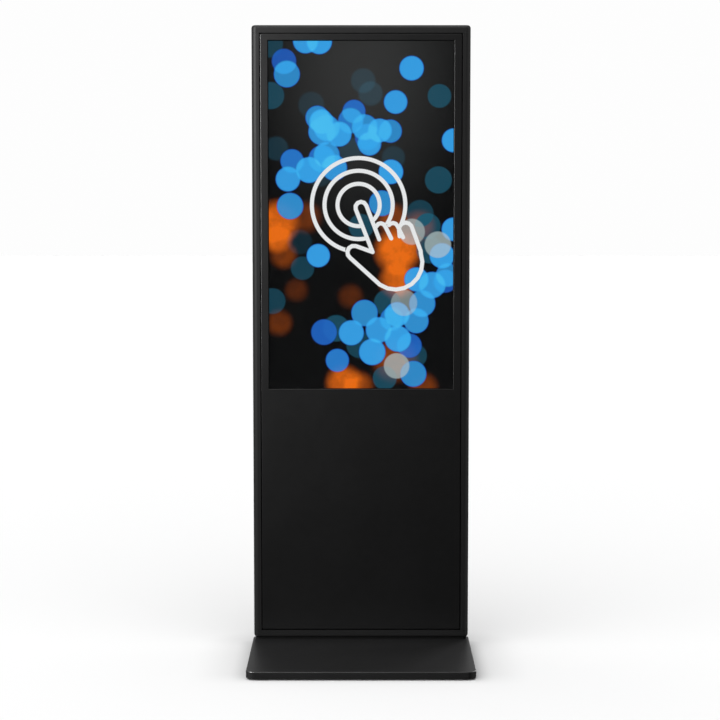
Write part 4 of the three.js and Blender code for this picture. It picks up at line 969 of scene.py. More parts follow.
def make_side_rails(sizes, colours):
    """The two extruded side rails: each section carried up its rail's height."""
    material = anodised(tuple(colours.anodised))
    for side, node in ((-1, "side_rail_left"), (1, "side_rail_right")):
        low, high = corners(node)
        section = [rail_outline(sizes, side), rail_hollow(sizes, side)]
        make_piece(node, Shape().prism(section, low[2], high[2], in_plan), material, 0.4 * MM)


def body_plan(sizes, inset):
    """The body's outline in plan, moved inwards."""
    low, high = corners("top_cap")
    front, rear = sizes.rail_front_radius, sizes.rail_rear_radius
    return rounded_outline(low[:2], high[:2], (front, rear, rear, front), inset)


def end_rail(sizes, edge, outer, inner, wall):
    """A cap as one closed surface: its pocket's floor and wall, its rim, its outer side, and a quarter-round
    edge into its outer face. edge and outer are the heights of its rim and of its outer face."""
    sign = 1 if outer > edge else -1
    radius = sizes.cap_edge_radius
    chamfer = 0.5 * MM

    def ring(inset, z):
        return in_plan(body_plan(sizes, inset), z)

    turn = np.radians(np.linspace(0, 90, ARC_STEPS + 1))
    rings = [ring(wall + chamfer, inner), ring(wall, inner - sign * chamfer), ring(wall, edge), ring(0, edge)]
    rings += [ring(radius * (1 - math.cos(a)), outer - sign * radius * (1 - math.sin(a))) for a in turn]
    return Shape().loft(rings)


def make_end_rails(sizes, colours):
    """The top cap and the bottom rail, each with the lip that stands behind the fascia's edge."""
    material = anodised(tuple(colours.anodised))
    rail_low, rail_high = corners("side_rail_right")
    fascia_rear = corners("front_fascia")[1][1]
    lip_half = rail_low[0] - 1 * MM
    lip_front, lip_back = fascia_rear + 0.5 * MM, fascia_rear + 3 * MM
    wall, floor, clear = 2 * MM, 3 * MM, 0.2 * MM
    low, high = corners("top_cap")
    shape = end_rail(sizes, rail_high[2] + FIT, high[2], high[2] - wall, wall)
    shape.block((-lip_half, lip_front, low[2]), (lip_half, lip_back, high[2] - wall - clear))
    make_piece("top_cap", shape, material)
    low, high = corners("bottom_rail")
    shape = end_rail(sizes, rail_low[2] - FIT, low[2], low[2] + floor, wall)
    shape.block((-lip_half, lip_front, low[2] + floor + clear), (lip_half, lip_back, high[2]))
    make_piece("bottom_rail", shape, material)


# ------------------------------------------------------------------------------ fascia and display
def window_box():
    """The screen window's lowest and highest (x, z), which lie inside the gasket by its lap."""
    low, high = corners("window_gasket")
    lap = 10 * MM
    return low[[0, 2]] + lap, high[[0, 2]] - lap


def make_fascia(sizes, colours):
    """The fascia as one closed loft of rings: outer return, outer bend, face, window bend, window return and
    the inside of the skin."""
    low, high = corners("front_fascia")
    front, back = low[1], high[1]
    outer = low[[0, 2]], high[[0, 2]]
    window = window_box()
    window_back = corners("window_gasket")[0][1] - FIT
    bend, lip = sizes.fascia_edge_radius, sizes.window_edge_radius
    corner, notch = 4 * MM, 1.5 * MM

    def outside(inset, y):
        return facing(rounded_outline(*outer, corner, inset, SMALL_ARC_STEPS), y)

    def inside(grow, y):
        return facing(rounded_outline(*window, notch, -grow, SMALL_ARC_STEPS), y)

    turn = np.radians(np.linspace(0, 90, SMALL_ARC_STEPS + 1))
    rings = [outside(SKIN, back), outside(0.2 * MM, back), outside(0, back - 0.2 * MM)]
    rings += [outside(bend * (1 - math.cos(a)), front + bend * (1 - math.sin(a))) for a in turn]
    rings += [inside(lip * (1 - math.sin(a)), front + lip * (1 - math.cos(a))) for a in turn]
    rings += [inside(0, window_back), inside(SKIN, window_back)]
    rings += [inside(SKIN, front + SKIN), outside(SKIN, front + SKIN)]
    make_piece("front_fascia", Shape().loft(rings, closed=True), fascia_paint(tuple(colours.paint)))


def make_display(sizes, colours):
    """The gasket, glass, lit cell and light guide in their finishes, and the tray with eased edges."""
    window = window_box()
    middle = (window[0] + window[1]) / 2
    paint_node("window_gasket", foam())
    paint_node("touch_glass", toughened_glass())
    paint_node("lcd_cell", lit_screen(colours, (float(middle[0]), 0.0, float(middle[1]))))
    paint_node("light_guide", clear_acrylic())
    eased_copy("backlight_tray", zinc_steel(), 0.3 * MM)


# ------------------------------------------------------------------------------ base
def make_base(sizes, colours):
    """The base cover as one closed loft: its ceiling, inner wall, rim, outer wall, round edge and top."""
    low, high = corners("base_cover")
    edge, rim = sizes.base_edge_radius, 0.4 * MM

    def ring(inset, z):
        return in_plan(rounded_outline(low[:2], high[:2], sizes.base_corner_radius, inset), z)

    turn = np.radians(np.linspace(0, 90, SMALL_ARC_STEPS + 3))
    rings = [ring(SKIN + 1 * MM, high[2] - SKIN), ring(SKIN, high[2] - SKIN - 1 * MM),
             ring(SKIN, low[2] + 0.3 * MM), ring(SKIN - rim, low[2]),
             ring(rim, low[2]), ring(0, low[2] + rim)]
    rings += [ring(edge * (1 - math.cos(a)), high[2] - edge * (1 - math.sin(a))) for a in turn]
    make_piece("base_cover", Shape().loft(rings), base_paint(tuple(colours.paint)))
    eased_copy("ballast_plate", mill_steel(), 0.5 * MM)
    eased_copy("base_underplate", matt_steel(), 0.3 * MM)
    paint_node("plinth", plinth_shade_black())


def make_feet(sizes, colours):
    """Four turned rubber feet, each with a round rim and a dimple under its screw."""
    for node in ("foot_front_left", "foot_front_right", "foot_rear_left", "foot_rear_right"):
        low, high = corners(node)
        radius, height = (high[0] - low[0]) / 2, high[2]
        round_edge = arc((radius - 1 * MM, 1 * MM), 1 * MM, -90, 0, SMALL_ARC_STEPS)
        profile = np.concatenate([
            [(0, 2 * MM), (4 * MM, 2 * MM), (4.4 * MM, 0.3 * MM), (5 * MM, 0)], round_edge,
            [(radius - 0.8 * MM, height), (0, height)]])
        centre = ((low[0] + high[0]) / 2, (low[1] + high[1]) / 2, 0)
        make_piece(node, Shape().turned(profile, centre), black_rubber())


# ------------------------------------------------------------------------------ rear covers and door
def slot_row(centre, count, step, width, height):
    """The outlines of a row of slots; step is (x, z) from one to the next."""
    from_middle = np.arange(count) - (count - 1) / 2
    return [slot_outline(np.array(centre) + place * np.array(step), width, height) for place in from_middle]


def make_rear_covers(sizes, colours):
    """The upper cover, with vent slots over the fans and along its foot, and the lower cover."""
    material = cover_paint(tuple(colours.paint))
    low, high = corners("rear_cover_upper")
    fan_low, fan_high = corners("fan_frame_right")
    fan = (fan_low + fan_high) / 2
    loops = [rounded_outline(low[[0, 2]], high[[0, 2]], 1 * MM, steps=3)]
    for side in (-1, 1):
        loops += slot_row((side * fan[0], fan[2]), 7, (8 * MM, 0), 4 * MM, 50 * MM)
        loops += slot_row((side * fan[0], low[2] + 44.25 * MM), 12, (8 * MM, 0), 4 * MM, 36 * MM)
    make_piece("rear_cover_upper", Shape().prism(loops, low[1], high[1], facing), material)
    make_lower_cover(material)


def make_lower_cover(material):
    """The lower cover: its skin with the door opening, connection cuts and speaker slots, and the opening's
    return turned inwards."""
    low, high = corners("rear_cover_lower")
    skin_front = high[1] - COVER_SHEET
    door_low, door_high = corners("service_door")
    gap = 1.5 * MM
    opening = door_low[[0, 2]] - gap, door_high[[0, 2]] + gap
    loops = [rounded_outline(low[[0, 2]], high[[0, 2]], 1 * MM, steps=3),
             rounded_outline(*opening, 1 * MM, steps=3)]
    half_cuts = {"mains_inlet": (15.4, 12.4), "rocker_frame": (9.4, 13.4), "network_socket": (9.4, 9.4)}
    for node, half_cut in half_cuts.items():
        middle = sum(corners(node))[[0, 2]] / 2
        half = np.array(half_cut) * MM
        loops.append(rounded_outline(middle - half, middle + half, 1 * MM, steps=3))
    button = sum(corners("button_bezel"))[[0, 2]] / 2
    loops.append(circle(button, PANEL_HOLE))
    speaker = sum(corners("speaker_right"))[[0, 2]] / 2
    for side in (-1, 1):
        loops += slot_row((side * speaker[0], speaker[1]), 7, (0, 9 * MM), 24 * MM, 3 * MM)
    shape = Shape().prism(loops, skin_front, high[1], facing)
    turned = [rounded_outline(opening[0] - gap, opening[1] + gap, 2 * MM, steps=3),
              rounded_outline(*opening, 1 * MM, steps=3)]
    shape.prism(turned, low[1], skin_front, facing)
    make_piece("rear_cover_lower", shape, material)


def pan_head(place, radius=3.6 * MM, height=1.6 * MM, turn=0.0):
    """A pan-head screw with a six-sided recess, facing +Y: rings of its recess, its rim and its dome."""
    steps = SCREW_STEPS
    angle = np.radians(np.arange(steps) * 360 / steps)
    lobes = 1 + 0.12 * np.cos(6 * angle + turn)

    def ring(size, depth, lobed=False):
        reach = size * (lobes if lobed else 1)
        return np.stack([place[0] + reach * np.cos(angle), np.full(steps, place[1] + depth),
                         place[2] + reach * np.sin(angle)], axis=1)

    recess = radius * 0.38
    rise = np.radians([0, 25, 50, 68])
    dome = [ring(radius * math.cos(a), height * (0.35 + 0.65 * math.sin(a))) for a in rise]
    socket = [ring(recess * 1.1, height, True), ring(recess, height * 0.9, True),
              ring(recess * 0.9, height * 0.2, True)]
    return [ring(radius * 0.9, 0), ring(radius, 0.1 * height), *dome, *socket]


def make_cover_screws(sizes, colours):
    """Pan-head screws down both long edges of each rear cover, over the rails' ledges."""
    for node in ("rear_cover_upper", "rear_cover_lower"):
        low, high = corners(node)
        rail = corners("side_rail_right")[0][0]
        across = (rail + high[0]) / 2 + 2.2 * MM
        ends = low[2] + 28 * MM, high[2] - 28 * MM
        count = math.ceil((ends[1] - ends[0]) / sizes.screw_pitch) + 1
        shape = Shape()
        for side in (-1, 1):
            for number, z in enumerate(np.linspace(*ends, count)):
                shape.loft(pan_head((side * across, high[1] + 0.05 * MM, z), turn=number * 1.3 + side))
        add_piece(node + "_screws", node, shape, zinc_black())


def make_service_door(sizes, colours):
    """The door: a skin with the lock's hole, and its return."""
    low, high = corners("service_door")
    skin_front = high[1] - COVER_SHEET
    outline = rounded_outline(low[[0, 2]], high[[0, 2]], 1.5 * MM, steps=SMALL_ARC_STEPS)
    inner = rounded_outline(low[[0, 2]], high[[0, 2]], 1.5 * MM, 1.4 * MM, SMALL_ARC_STEPS)
    lock = sum(corners("lock_housing"))[[0, 2]] / 2
    shape = Shape().prism([outline, circle(lock, PANEL_HOLE)], skin_front, high[1], facing)
    shape.prism([outline, inner], low[1], skin_front, facing)
    make_piece("service_door", shape, cover_paint(tuple(colours.paint)))


# ------------------------------------------------------------------------------ hinges and lock
def knuckle_profile(low, high, radius, bore):
    """A tube's closed profile with eased rims."""
    ease = 0.3 * MM
    return [(bore, low), (radius - ease, low), (radius, low + ease), (radius, high - ease),
            (radius - ease, high), (bore, high)]


def tube(shape, profile, centre):
    """A closed profile carried round the Z axis through centre, as a ring with a bore."""
    radius, along = np.asarray(profile, float).T[:, :, None]
    angle = np.radians(np.arange(ROUND_STEPS) * 360 / ROUND_STEPS)[None, :]
    rings = np.stack([radius * np.cos(angle), radius * np.sin(angle), along + 0 * angle], axis=-1)
    return shape.loft(rings + np.array(centre), closed=True)


def make_hinges(sizes, colours):
    """Each hinge's two leaves with their knuckles and low-headed screws, and its headed pin."""
    radius, bore, pin_radius = 2.6 * MM, 1.6 * MM, 1.3 * MM
    for hinge in ("hinge_upper", "hinge_lower"):
        low, high = corners(hinge + "_frame_leaf")
        pin_low, pin_high = corners(hinge + "_pin")
        axis = (pin_low + pin_high)[:2] / 2
        middle = (low[2] + high[2]) / 2
        half = (high[2] - low[2]) / 2
        knuckle, gap = 8 * MM, 0.4 * MM
        for side, leaf, spans in (
            (1, "_frame_leaf", [(-knuckle, knuckle)]),
            (-1, "_door_leaf", [(-half, -knuckle - gap), (knuckle + gap, half)]),
        ):
            node = hinge + leaf
            leaf_low, leaf_high = corners(node)
            far = leaf_high[0] if side > 0 else leaf_low[0]
            near = axis[0] + side * (radius + 0.6 * MM)
            sheet = leaf_low[1], leaf_low[1] + 1.2 * MM
            span = sorted((near, far))
            shape = Shape()
            outline = rounded_outline((span[0], low[2]), (span[1], high[2]), 1.2 * MM, steps=3)
            shape.prism([outline], sheet[0], sheet[1], facing)
            for start, end in spans:
                tube(shape, knuckle_profile(middle + start, middle + end, radius, bore), (*axis, 0))
                reach = sorted((axis[0] + side * 1.9 * MM, near))
                shape.block((reach[0], sheet[0], middle + start), (reach[1], sheet[1], middle + end))
            make_piece(node, shape, brushed_stainless())
            screws = Shape()
            for number, z in enumerate((-16, 0, 16)):
                place = ((near + far) / 2 + side * 1.5 * MM, sheet[1] - 0.05 * MM, middle + z * MM)
                screws.loft(pan_head(place, 2.4 * MM, 0.7 * MM, number * 0.9))
            add_piece(node + "_screws", node, screws, zinc_steel())
        head = high[2] - 0.1 * MM
        profile = [(0, low[2]), (pin_radius - 0.2 * MM, low[2]), (pin_radius, low[2] + 0.2 * MM),
                   (pin_radius, head + 0.4 * MM), (2.3 * MM, head + 0.4 * MM), (2.3 * MM, head + 0.9 * MM),
                   (1.5 * MM, pin_high[2]), (0, pin_high[2])]
        shape = Shape().turned(profile, (*axis, 0), steps=SCREW_STEPS)
        make_piece(hinge + "_pin", shape, zinc_steel())


def make_lock(sizes, colours):
    """The lock: a turned flange and barrel, its nut, a plug with a key slot, and the cam."""
    low, high = corners("lock_housing")
    centre = ((low[0] + high[0]) / 2, 0, (low[2] + high[2]) / 2)
    rear, flange_front = high[1], high[1] - 2 * MM
    bore = 5.5 * MM
    dome = arc((9.6 * MM, rear - 1.4 * MM), 1.4 * MM, 0, 90, SMALL_ARC_STEPS)
    profile = np.concatenate([
        [(bore, low[1]), (7.7 * MM, low[1]), (8 * MM, low[1] + 0.3 * MM), (8 * MM, flange_front),
         (11 * MM, flange_front)], dome, [(6.4 * MM, rear), (bore, rear - 0.6 * MM)]])
    radius, along = profile.T[:, :, None]
    angle = np.radians(np.arange(ROUND_STEPS) * 360 / ROUND_STEPS)[None, :]
    rings = np.stack([radius * np.cos(angle), along + 0 * angle, radius * np.sin(angle)], axis=-1)
    shape = Shape().loft(rings + np.array(centre), closed=True)
    make_piece("lock_housing", shape, polished_chrome())
    eased_copy("lock_nut", zinc_steel(), 0.4 * MM)
    eased_copy("lock_cam", zinc_steel(), 0.3 * MM)
    low, high = corners("lock_plug")
    face = high[1] - 2 * MM
    middle = np.array([centre[0], centre[2]])
    half_slot = np.array([0.8, 3.5]) * MM
    slot = rounded_outline(middle - half_slot, middle + half_slot, 0.4 * MM, steps=2)
    shape = Shape().prism([circle(middle, 5.2 * MM), slot], face, high[1], facing)
    barrel = [(0, low[1]), (4.9 * MM, low[1]), (5.2 * MM, low[1] + 0.3 * MM), (5.2 * MM, face), (0, face)]
    shape.turned(barrel, centre, "Y")
    make_piece("lock_plug", shape, nickel_brass(), 0.2 * MM)


# ------------------------------------------------------------------------------ connection row
def make_connections(sizes, colours):
    """The sockets' and the rocker's shells with eased edges, their contacts, and the power button."""
    for node in ("mains_inlet", "rocker_frame", "network_socket"):
        eased_copy(node, moulded_plastic(), 0.5 * MM)
    eased_copy("power_rocker", rocker_plastic(), 0.4 * MM)
    make_contacts()
    make_button()


def make_contacts():
    """The inlet's three flat pins, and the network socket's eight spring contacts."""
    low, high = corners("mains_inlet")
    middle = (low + high) / 2
    floor = high[1] - 17 * MM
    pins = Shape()
    for x, z in ((-7, -2), (0, 3), (7, -2)):
        outline = rounded_outline(
            (middle[0] + (x - 1) * MM, middle[2] + (z - 2.2) * MM),
            (middle[0] + (x + 1) * MM, middle[2] + (z + 2.2) * MM), 0.4 * MM, steps=2)
        pins.loft([facing(outline, floor - 0.5 * MM), facing(outline, floor + 13 * MM),
                   facing(outline + (outline.mean(0) - outline) * 0.4, floor + 14 * MM)])
    add_piece("mains_inlet_pins", "mains_inlet", pins, brushed_stainless())
    low, high = corners("network_socket")
    middle = (low + high) / 2
    floor = high[1] - 14 * MM
    contacts = Shape()
    for number in range(8):
        x = middle[0] + (number - 3.5) * 1.02 * MM
        slope = [(floor - 0.5 * MM, 3.6), (floor + 6 * MM, 1.2), (floor + 11 * MM, 3.6)]
        rings = [facing(rectangle((x - 0.2 * MM, middle[2] + (z - 0.2) * MM),
                                  (x + 0.2 * MM, middle[2] + (z + 0.2) * MM)), y) for y, z in slope]
        contacts.loft(rings)
    add_piece("network_socket_contacts", "network_socket", contacts, nickel_brass())


def make_button():
    """The power button: a turned bezel with a round lip, and a dished cap."""
    low, high = corners("button_bezel")
    centre = ((low[0] + high[0]) / 2, 0, (low[2] + high[2]) / 2)
    rear, flange = high[1], high[1] - 2 * MM
    lip = arc((9.8 * MM, rear - 1.2 * MM), 1.2 * MM, 0, 90, SMALL_ARC_STEPS)
    well = rear - 10.3 * MM
    profile = np.concatenate([
        [(0, low[1]), (7.7 * MM, low[1]), (8 * MM, low[1] + 0.3 * MM), (8 * MM, flange), (11 * MM, flange)],
        lip, [(6.9 * MM, rear), (6.3 * MM, rear - 0.5 * MM), (6.3 * MM, well), (0, well)]])
    make_piece("button_bezel", Shape().turned(profile, centre, "Y"), polished_chrome())
    low, high = corners("power_button")
    rear = high[1]
    edge = arc((5.4 * MM, rear - 0.6 * MM), 0.6 * MM, 0, 90, SMALL_ARC_STEPS)
    profile = np.concatenate([
        [(0, low[1]), (5.8 * MM, low[1]), (6 * MM, low[1] + 0.2 * MM)], edge,
        [(4.5 * MM, rear - 0.15 * MM), (2.5 * MM, rear - 0.35 * MM), (0, rear - 0.45 * MM)]])
    make_piece("power_button", Shape().turned(profile, centre, "Y"), brushed_stainless())


# ------------------------------------------------------------------------------ inside the body
def make_structure(sizes, colours):
    """The uprights, crossbars, bolts and equipment plate with eased edges."""
    for node in ("upright_left", "upright_right", "crossbar_upper", "crossbar_middle", "crossbar_lower"):
        eased_copy(node, matt_steel(), 0.4 * MM)
    for number in range(1, 5):
        eased_copy(f"base_bolt_{number}", zinc_steel(), 0.4 * MM)
    eased_copy("equipment_plate", galvanised(), 0.3 * MM)


def make_equipment(sizes, colours):
    """The supply with its terminals, the media player with its cooling fins, and the boards."""
    eased_copy("power_supply", supply_case(), 0.8 * MM)
    low, high = corners("power_supply")
    terminals = Shape()
    for number in range(6):
        left = low[0] + (18 + 14 * number) * MM
        terminals.block((left, high[1], low[2] + 4 * MM),
                        (left + 12 * MM, high[1] + 3 * MM, low[2] + 14 * MM))
    add_piece("power_supply_terminals", "power_supply", terminals, chip_plastic(), 0.4 * MM)
    player_case = anodised(tuple(colours.anodised))
    eased_copy("media_player", player_case, 1.0 * MM)
    low, high = corners("media_player")
    root, tip = high[1] - 0.5 * MM, high[1] + 3.5 * MM
    fins = Shape()
    for number in range(17):
        left = low[0] + (12 + 8.2 * number) * MM
        fins.block((left, root, low[2] + 14 * MM), (left + 3 * MM, tip, high[2] - 30 * MM))
    add_piece("media_player_fins", "media_player", fins, player_case, 0.4 * MM)
    make_boards(colours)


CHIPS = {  # on each board: x, z, width, height and rise in millimetres from its lower left corner
    "display_controller": [
        (30, 40, 34, 34, 2), (90, 44, 22, 22, 1.6), (128, 38, 30, 14, 3), (24, 100, 40, 12, 4),
        (84, 96, 26, 26, 2), (130, 92, 18, 40, 1.5), (30, 140, 60, 16, 5), (110, 146, 44, 10, 4),
    ],
    "touch_controller": [(12, 8, 14, 14, 1.5), (36, 8, 18, 14, 2), (66, 8, 12, 14, 1.2)],
}


def make_boards(colours):
    """The two boards, with the chips and connectors on them as low blocks."""
    for node, places in CHIPS.items():
        eased_copy(node, board_mask(tuple(colours.circuit_board)), 0.2 * MM)
        low, high = corners(node)
        chips = Shape()
        for x, z, width, height, rise in places:
            chips.block((low[0] + x * MM, high[1], low[2] + z * MM),
                        (low[0] + (x + width) * MM, high[1] + rise * MM, low[2] + (z + height) * MM))
        add_piece(node + "_chips", node, chips, chip_plastic(), CHIP_EASE)


def make_speakers(sizes, colours):
    """Each speaker's box, and a turned driver in its round well: surround, cone and dust cap."""
    for node in ("speaker_left", "speaker_right"):
        eased_copy(node, moulded_plastic(), 0.8 * MM)
        low, high = corners(node)
        centre = ((low[0] + high[0]) / 2, high[1] - 6 * MM, (low[2] + high[2]) / 2)
        roll = arc((12 * MM, 2.6 * MM), 1.5 * MM, 0, 180, 6)
        cap = [(4 * MM * math.cos(a), (1.6 + 1.8 * math.sin(a)) * MM) for a in np.radians([0, 25, 50, 75])]
        profile = np.concatenate([
            [(0, -0.02 * MM), (13.6 * MM, -0.02 * MM), (13.6 * MM, 2.6 * MM)], roll,
            [(7 * MM, 1.6 * MM), (4.3 * MM, 0.8 * MM)], cap, [(0, 3.4 * MM)]])
        add_piece(node + "_driver", node, Shape().turned(profile, centre, "Y", 32), paper_cone())


def blade_rings(hub, tip, pitch, chord, thickness, middle, start, centre):
    """A twisted fan blade as rings from its root to its tip: an oval section of the chord and thickness,
    turned by a pitch that eases towards the tip, and swept round the hub."""
    count = 14
    around = np.radians(np.arange(count) * 360 / count)
    rings = []
    for share in np.linspace(0, 1, 7):
        radius = hub + (tip - hub) * share
        turn = pitch * (1 - 0.35 * share)
        across, up = chord / 2 * (0.85 + 0.3 * share) * np.cos(around), thickness / 2 * np.sin(around)
        along = across * math.cos(turn) - up * math.sin(turn)
        depth = across * math.sin(turn) + up * math.cos(turn)
        angle = start + along / radius + 0.25 * share
        rings.append(np.stack([centre[0] + radius * np.cos(angle), middle + depth,
                               centre[2] + radius * np.sin(angle)], axis=1))
    return rings


def make_fans(sizes, colours):
    """Each fan's frame, and a rotor of a turned hub and twisted blades."""
    blades, root, tip, chord, thickness = 7, 11.5 * MM, 26.4 * MM, 11 * MM, 0.9 * MM
    for side in ("left", "right"):
        eased_copy("fan_frame_" + side, moulded_plastic(), 0.4 * MM)
        node = "fan_rotor_" + side
        low, high = corners(node)
        hub_front, hub_back = low[1], high[1]
        centre = sum(corners("fan_frame_" + side)) / 2 * (1, 0, 1)
        round_edge = arc((11 * MM, hub_back - 1 * MM), 1 * MM, 0, 90, SMALL_ARC_STEPS)
        profile = np.concatenate([[(0, hub_front), (12 * MM, hub_front)], round_edge, [(0, hub_back)]])
        shape = Shape().turned(profile, centre, "Y", 36)
        middle = (hub_front + hub_back) / 2
        for number in range(blades):
            start = number * 2 * math.pi / blades
            shape.loft(blade_rings(root, tip, math.radians(30), chord, thickness, middle, start, centre))
        make_piece(node, shape, moulded_plastic())


def make_cables(sizes, colours):
    """The three inner cables in their sheath."""
    for node in ("mains_loom", "display_power_cable", "video_cable"):
        eased_copy(node, cable_sheath(), 0.0, math.radians(60))


# ------------------------------------------------------------------------------ stage
def make_floor(stage):
    """A wide white floor with a painted shadow: greyer close round the base and behind its front edge, by its
    distance from the base. Reflections and rays through the glass don't show it."""
    half = 30.0
    mesh = bpy.data.meshes.new("floor")
    mesh.from_pydata(in_plan(rectangle((-half, -half), (half, half)), 0.0).tolist(), [], [(0, 1, 2, 3)])
    floor = bpy.data.objects.new("floor", mesh)
    bpy.context.scene.collection.objects.link(floor)
    shader = Shader(bpy.data.materials.new("floor_white"))
    low, high = corners("base_cover")
    x, y, _ = split(shader, shader.place())
    beside = (abs(x) - float(high[0])).math("MAXIMUM", 0.0)
    beyond = (abs(y) - float(high[1])).math("MAXIMUM", 0.0)
    away = (beside * beside + beyond * beyond).math("SQRT")
    # painted shadow: the floor's colour is darker close round the base and fades with distance from it
    clear = shader.steps(away, 0.0, 0.17) * 0.5 + shader.steps(away, 0.0, 0.05) * 0.5
    shadow = (1 - clear) * shader.steps(y, float(low[1]) - 0.05, float(low[1]) + 0.09, 0.15, 1.0)
    white, grey = (stage.floor_grey,) * 3, (stage.floor_grey * 0.74,) * 3
    ground = shader.blend(shadow, white, grey)
    mesh.materials.append(shader.surface(Base_Color=ground, Roughness=1.0, Specular_IOR_Level=0.0))
    floor.visible_glossy = False
    floor.visible_transmission = False


def make_world(stage):
    """White to the camera, light walls above, behind and at the sides to reflections, and an even light to
    matt surfaces that is stronger from the front and the left."""
    world = bpy.data.worlds.new("studio")
    bpy.context.scene.world = world
    shader = Shader(world)
    direction = shader.add("ShaderNodeTexCoord", output="Generated")
    x, y, z = split(shader, direction)
    behind = shader.steps(y, 0.10, 0.55)
    left = shader.steps(-1 * x, 0.45, 0.98, 0.0, 0.50)
    right = shader.steps(x, 0.50, 0.95, 0.0, 1.0) * shader.steps(z, -0.30, 0.12, 0.15, 1.0)
    sides = left + right
    low_sky = shader.steps(z, 0.10, 0.24, 0.0, 0.42)
    wall = sides * (1 - behind) + behind * (0.04 + right * 0.3 + low_sky)
    above = shader.steps(z, 0.55, 0.95)
    level = wall * (1 - above) + above * 0.80
    seen_directly = shader.add("ShaderNodeLightPath", output="Is Camera Ray")
    glossy = shader.add("ShaderNodeLightPath", output="Is Glossy Ray")
    sideways = 1 - 0.38 * x - 0.72 * y
    diffuse = stage.floor_light * sideways
    indirect = diffuse * (1 - glossy) + glossy * level
    strength = indirect * (1 - seen_directly) + seen_directly * 0.985
    backdrop = shader.add("ShaderNodeBackground", None, {"Color": (1, 1, 1, 1), "Strength": strength})
    shader.add_output("ShaderNodeOutputWorld", backdrop)


def softbox(name, place, aim, size, power, named, link="EXCLUDE"):
    """A rectangular area light at place, turned to aim. It leaves out the named objects, or lights those
    alone when the link is INCLUDE."""
    light = bpy.data.lights.new(name, "AREA")
    light.shape = "RECTANGLE"
    light.size, light.size_y = size
    light.energy = power
    made = bpy.data.objects.new(name, light)
    made.location = place
    made.rotation_euler = (Vector(aim) - Vector(place)).to_track_quat("-Z", "Y").to_euler()
    made.visible_camera = False
    bpy.context.scene.collection.objects.link(made)
    linked = bpy.data.collections.new(name + "_link")
    for each in named:
        linked.objects.link(each)
    for each in linked.collection_objects:
        each.light_linking.link_state = link
    made.light_linking.receiver_collection = linked


def make_lights(stage):
    """The softboxes, which come after the pieces that they're linked to: a key in front for all but the
    floor, the rails and the screen; one for the rails alone; one above; one behind for the rear covers; and
    a low strip for the base's front edge."""
    low, high = corners("top_cap")
    middle = (0, low[1], high[2] / 2)
    floor = bpy.data.objects["floor"]
    screen = [frame["nodes"]["touch_glass"], frame["nodes"]["lcd_cell"]]
    rails = [bpy.data.objects[node + "_finished"]
             for node in ("side_rail_left", "side_rail_right", "top_cap", "bottom_rail")]
    base = bpy.data.objects["base_cover_finished"]
    softbox("key_softbox", (-1.45, -0.75, 1.80), (-0.2, low[1], 1.25), (0.6, 1.7), stage.key_power,
            [floor, *screen, *rails])
    softbox("rail_softbox", (-1.5, -1.3, 1.9), (-0.1, low[1], 1.25), (1.2, 1.6), stage.rail_power, rails,
            "INCLUDE")
    softbox("top_softbox", (0, -0.4, 3.4), middle, (2.4, 2.0), stage.top_power, [floor, *screen])
    softbox("rim_softbox", (1.9, 2.3, 1.5), middle, (1.2, 2.6), stage.rim_power, [floor, *screen, *rails])
    aim = (0, corners("base_cover")[0][1], 0.02)
    softbox("base_softbox", (-0.3, aim[1] - 1.1, 0.16), aim, (1.8, 0.2), stage.base_power, [base],
            "INCLUDE")


def make_camera(stage):
    """The camera, level with the body's upper part and pitched a little down."""
    front = corners("top_cap")[0][1]
    data = bpy.data.cameras.new("camera")
    data.lens = stage.camera_lens
    data.sensor_width = 36
    data.clip_end = 100
    camera = bpy.data.objects.new("camera", data)
    camera.location = (stage.camera_offset, front - stage.camera_distance, stage.camera_height)
    camera.rotation_euler = (math.radians(90) - stage.camera_pitch, 0, 0)
    bpy.context.scene.collection.objects.link(camera)
    bpy.context.scene.camera = camera


def make_stage(stage):
    """The camera, the floor and the world, and plain colours in the render."""
    make_camera(stage)
    make_floor(stage)
    make_world(stage)
    bpy.context.scene.view_settings.view_transform = "Standard"


# ------------------------------------------------------------------------------ operators and panel
class KioskOperator:
    """What the operators of the object's pieces share: each runs its make function with the sizes and
    colours, and an error in it stops the script."""

    def execute(self, context):
        self.make(context.scene.kiosk_sizes, context.scene.kiosk_colours)
        return {"FINISHED"}


class KIOSK_OT_stage(bpy.types.Operator):
    """Make the camera, the floor and the studio world"""
    bl_idname = "kiosk.stage"
    bl_label = "Stage"

    def execute(self, context):
        make_stage(context.scene.kiosk_stage)
        return {"FINISHED"}


class KIOSK_OT_lights(bpy.types.Operator):
    """Make the softboxes, each linked to the pieces that it's for; the pieces come first"""
    bl_idname = "kiosk.lights"
    bl_label = "Lights"

    def execute(self, context):
        make_lights(context.scene.kiosk_stage)
        return {"FINISHED"}


class KIOSK_OT_side_rails(KioskOperator, bpy.types.Operator):
    """Make the two extruded side rails"""
    bl_idname = "kiosk.side_rails"
    bl_label = "Side Rails"
    make = staticmethod(make_side_rails)


class KIOSK_OT_end_rails(KioskOperator, bpy.types.Operator):
    """Make the top cap and the bottom rail"""
    bl_idname = "kiosk.end_rails"
    bl_label = "Top Cap and Bottom Rail"
    make = staticmethod(make_end_rails)


class KIOSK_OT_fascia(KioskOperator, bpy.types.Operator):
    """Make the full-height front fascia with its screen window"""
    bl_idname = "kiosk.fascia"
    bl_label = "Front Fascia"
    make = staticmethod(make_fascia)


class KIOSK_OT_display(KioskOperator, bpy.types.Operator):
    """Finish the gasket, glass, lit screen, light guide and backlight tray"""
    bl_idname = "kiosk.display"
    bl_label = "Display"
    make = staticmethod(make_display)


class KIOSK_OT_base(KioskOperator, bpy.types.Operator):
    """Make the base cover, and finish the ballast, the underplate and the plinth"""
    bl_idname = "kiosk.base"
    bl_label = "Base"
    make = staticmethod(make_base)


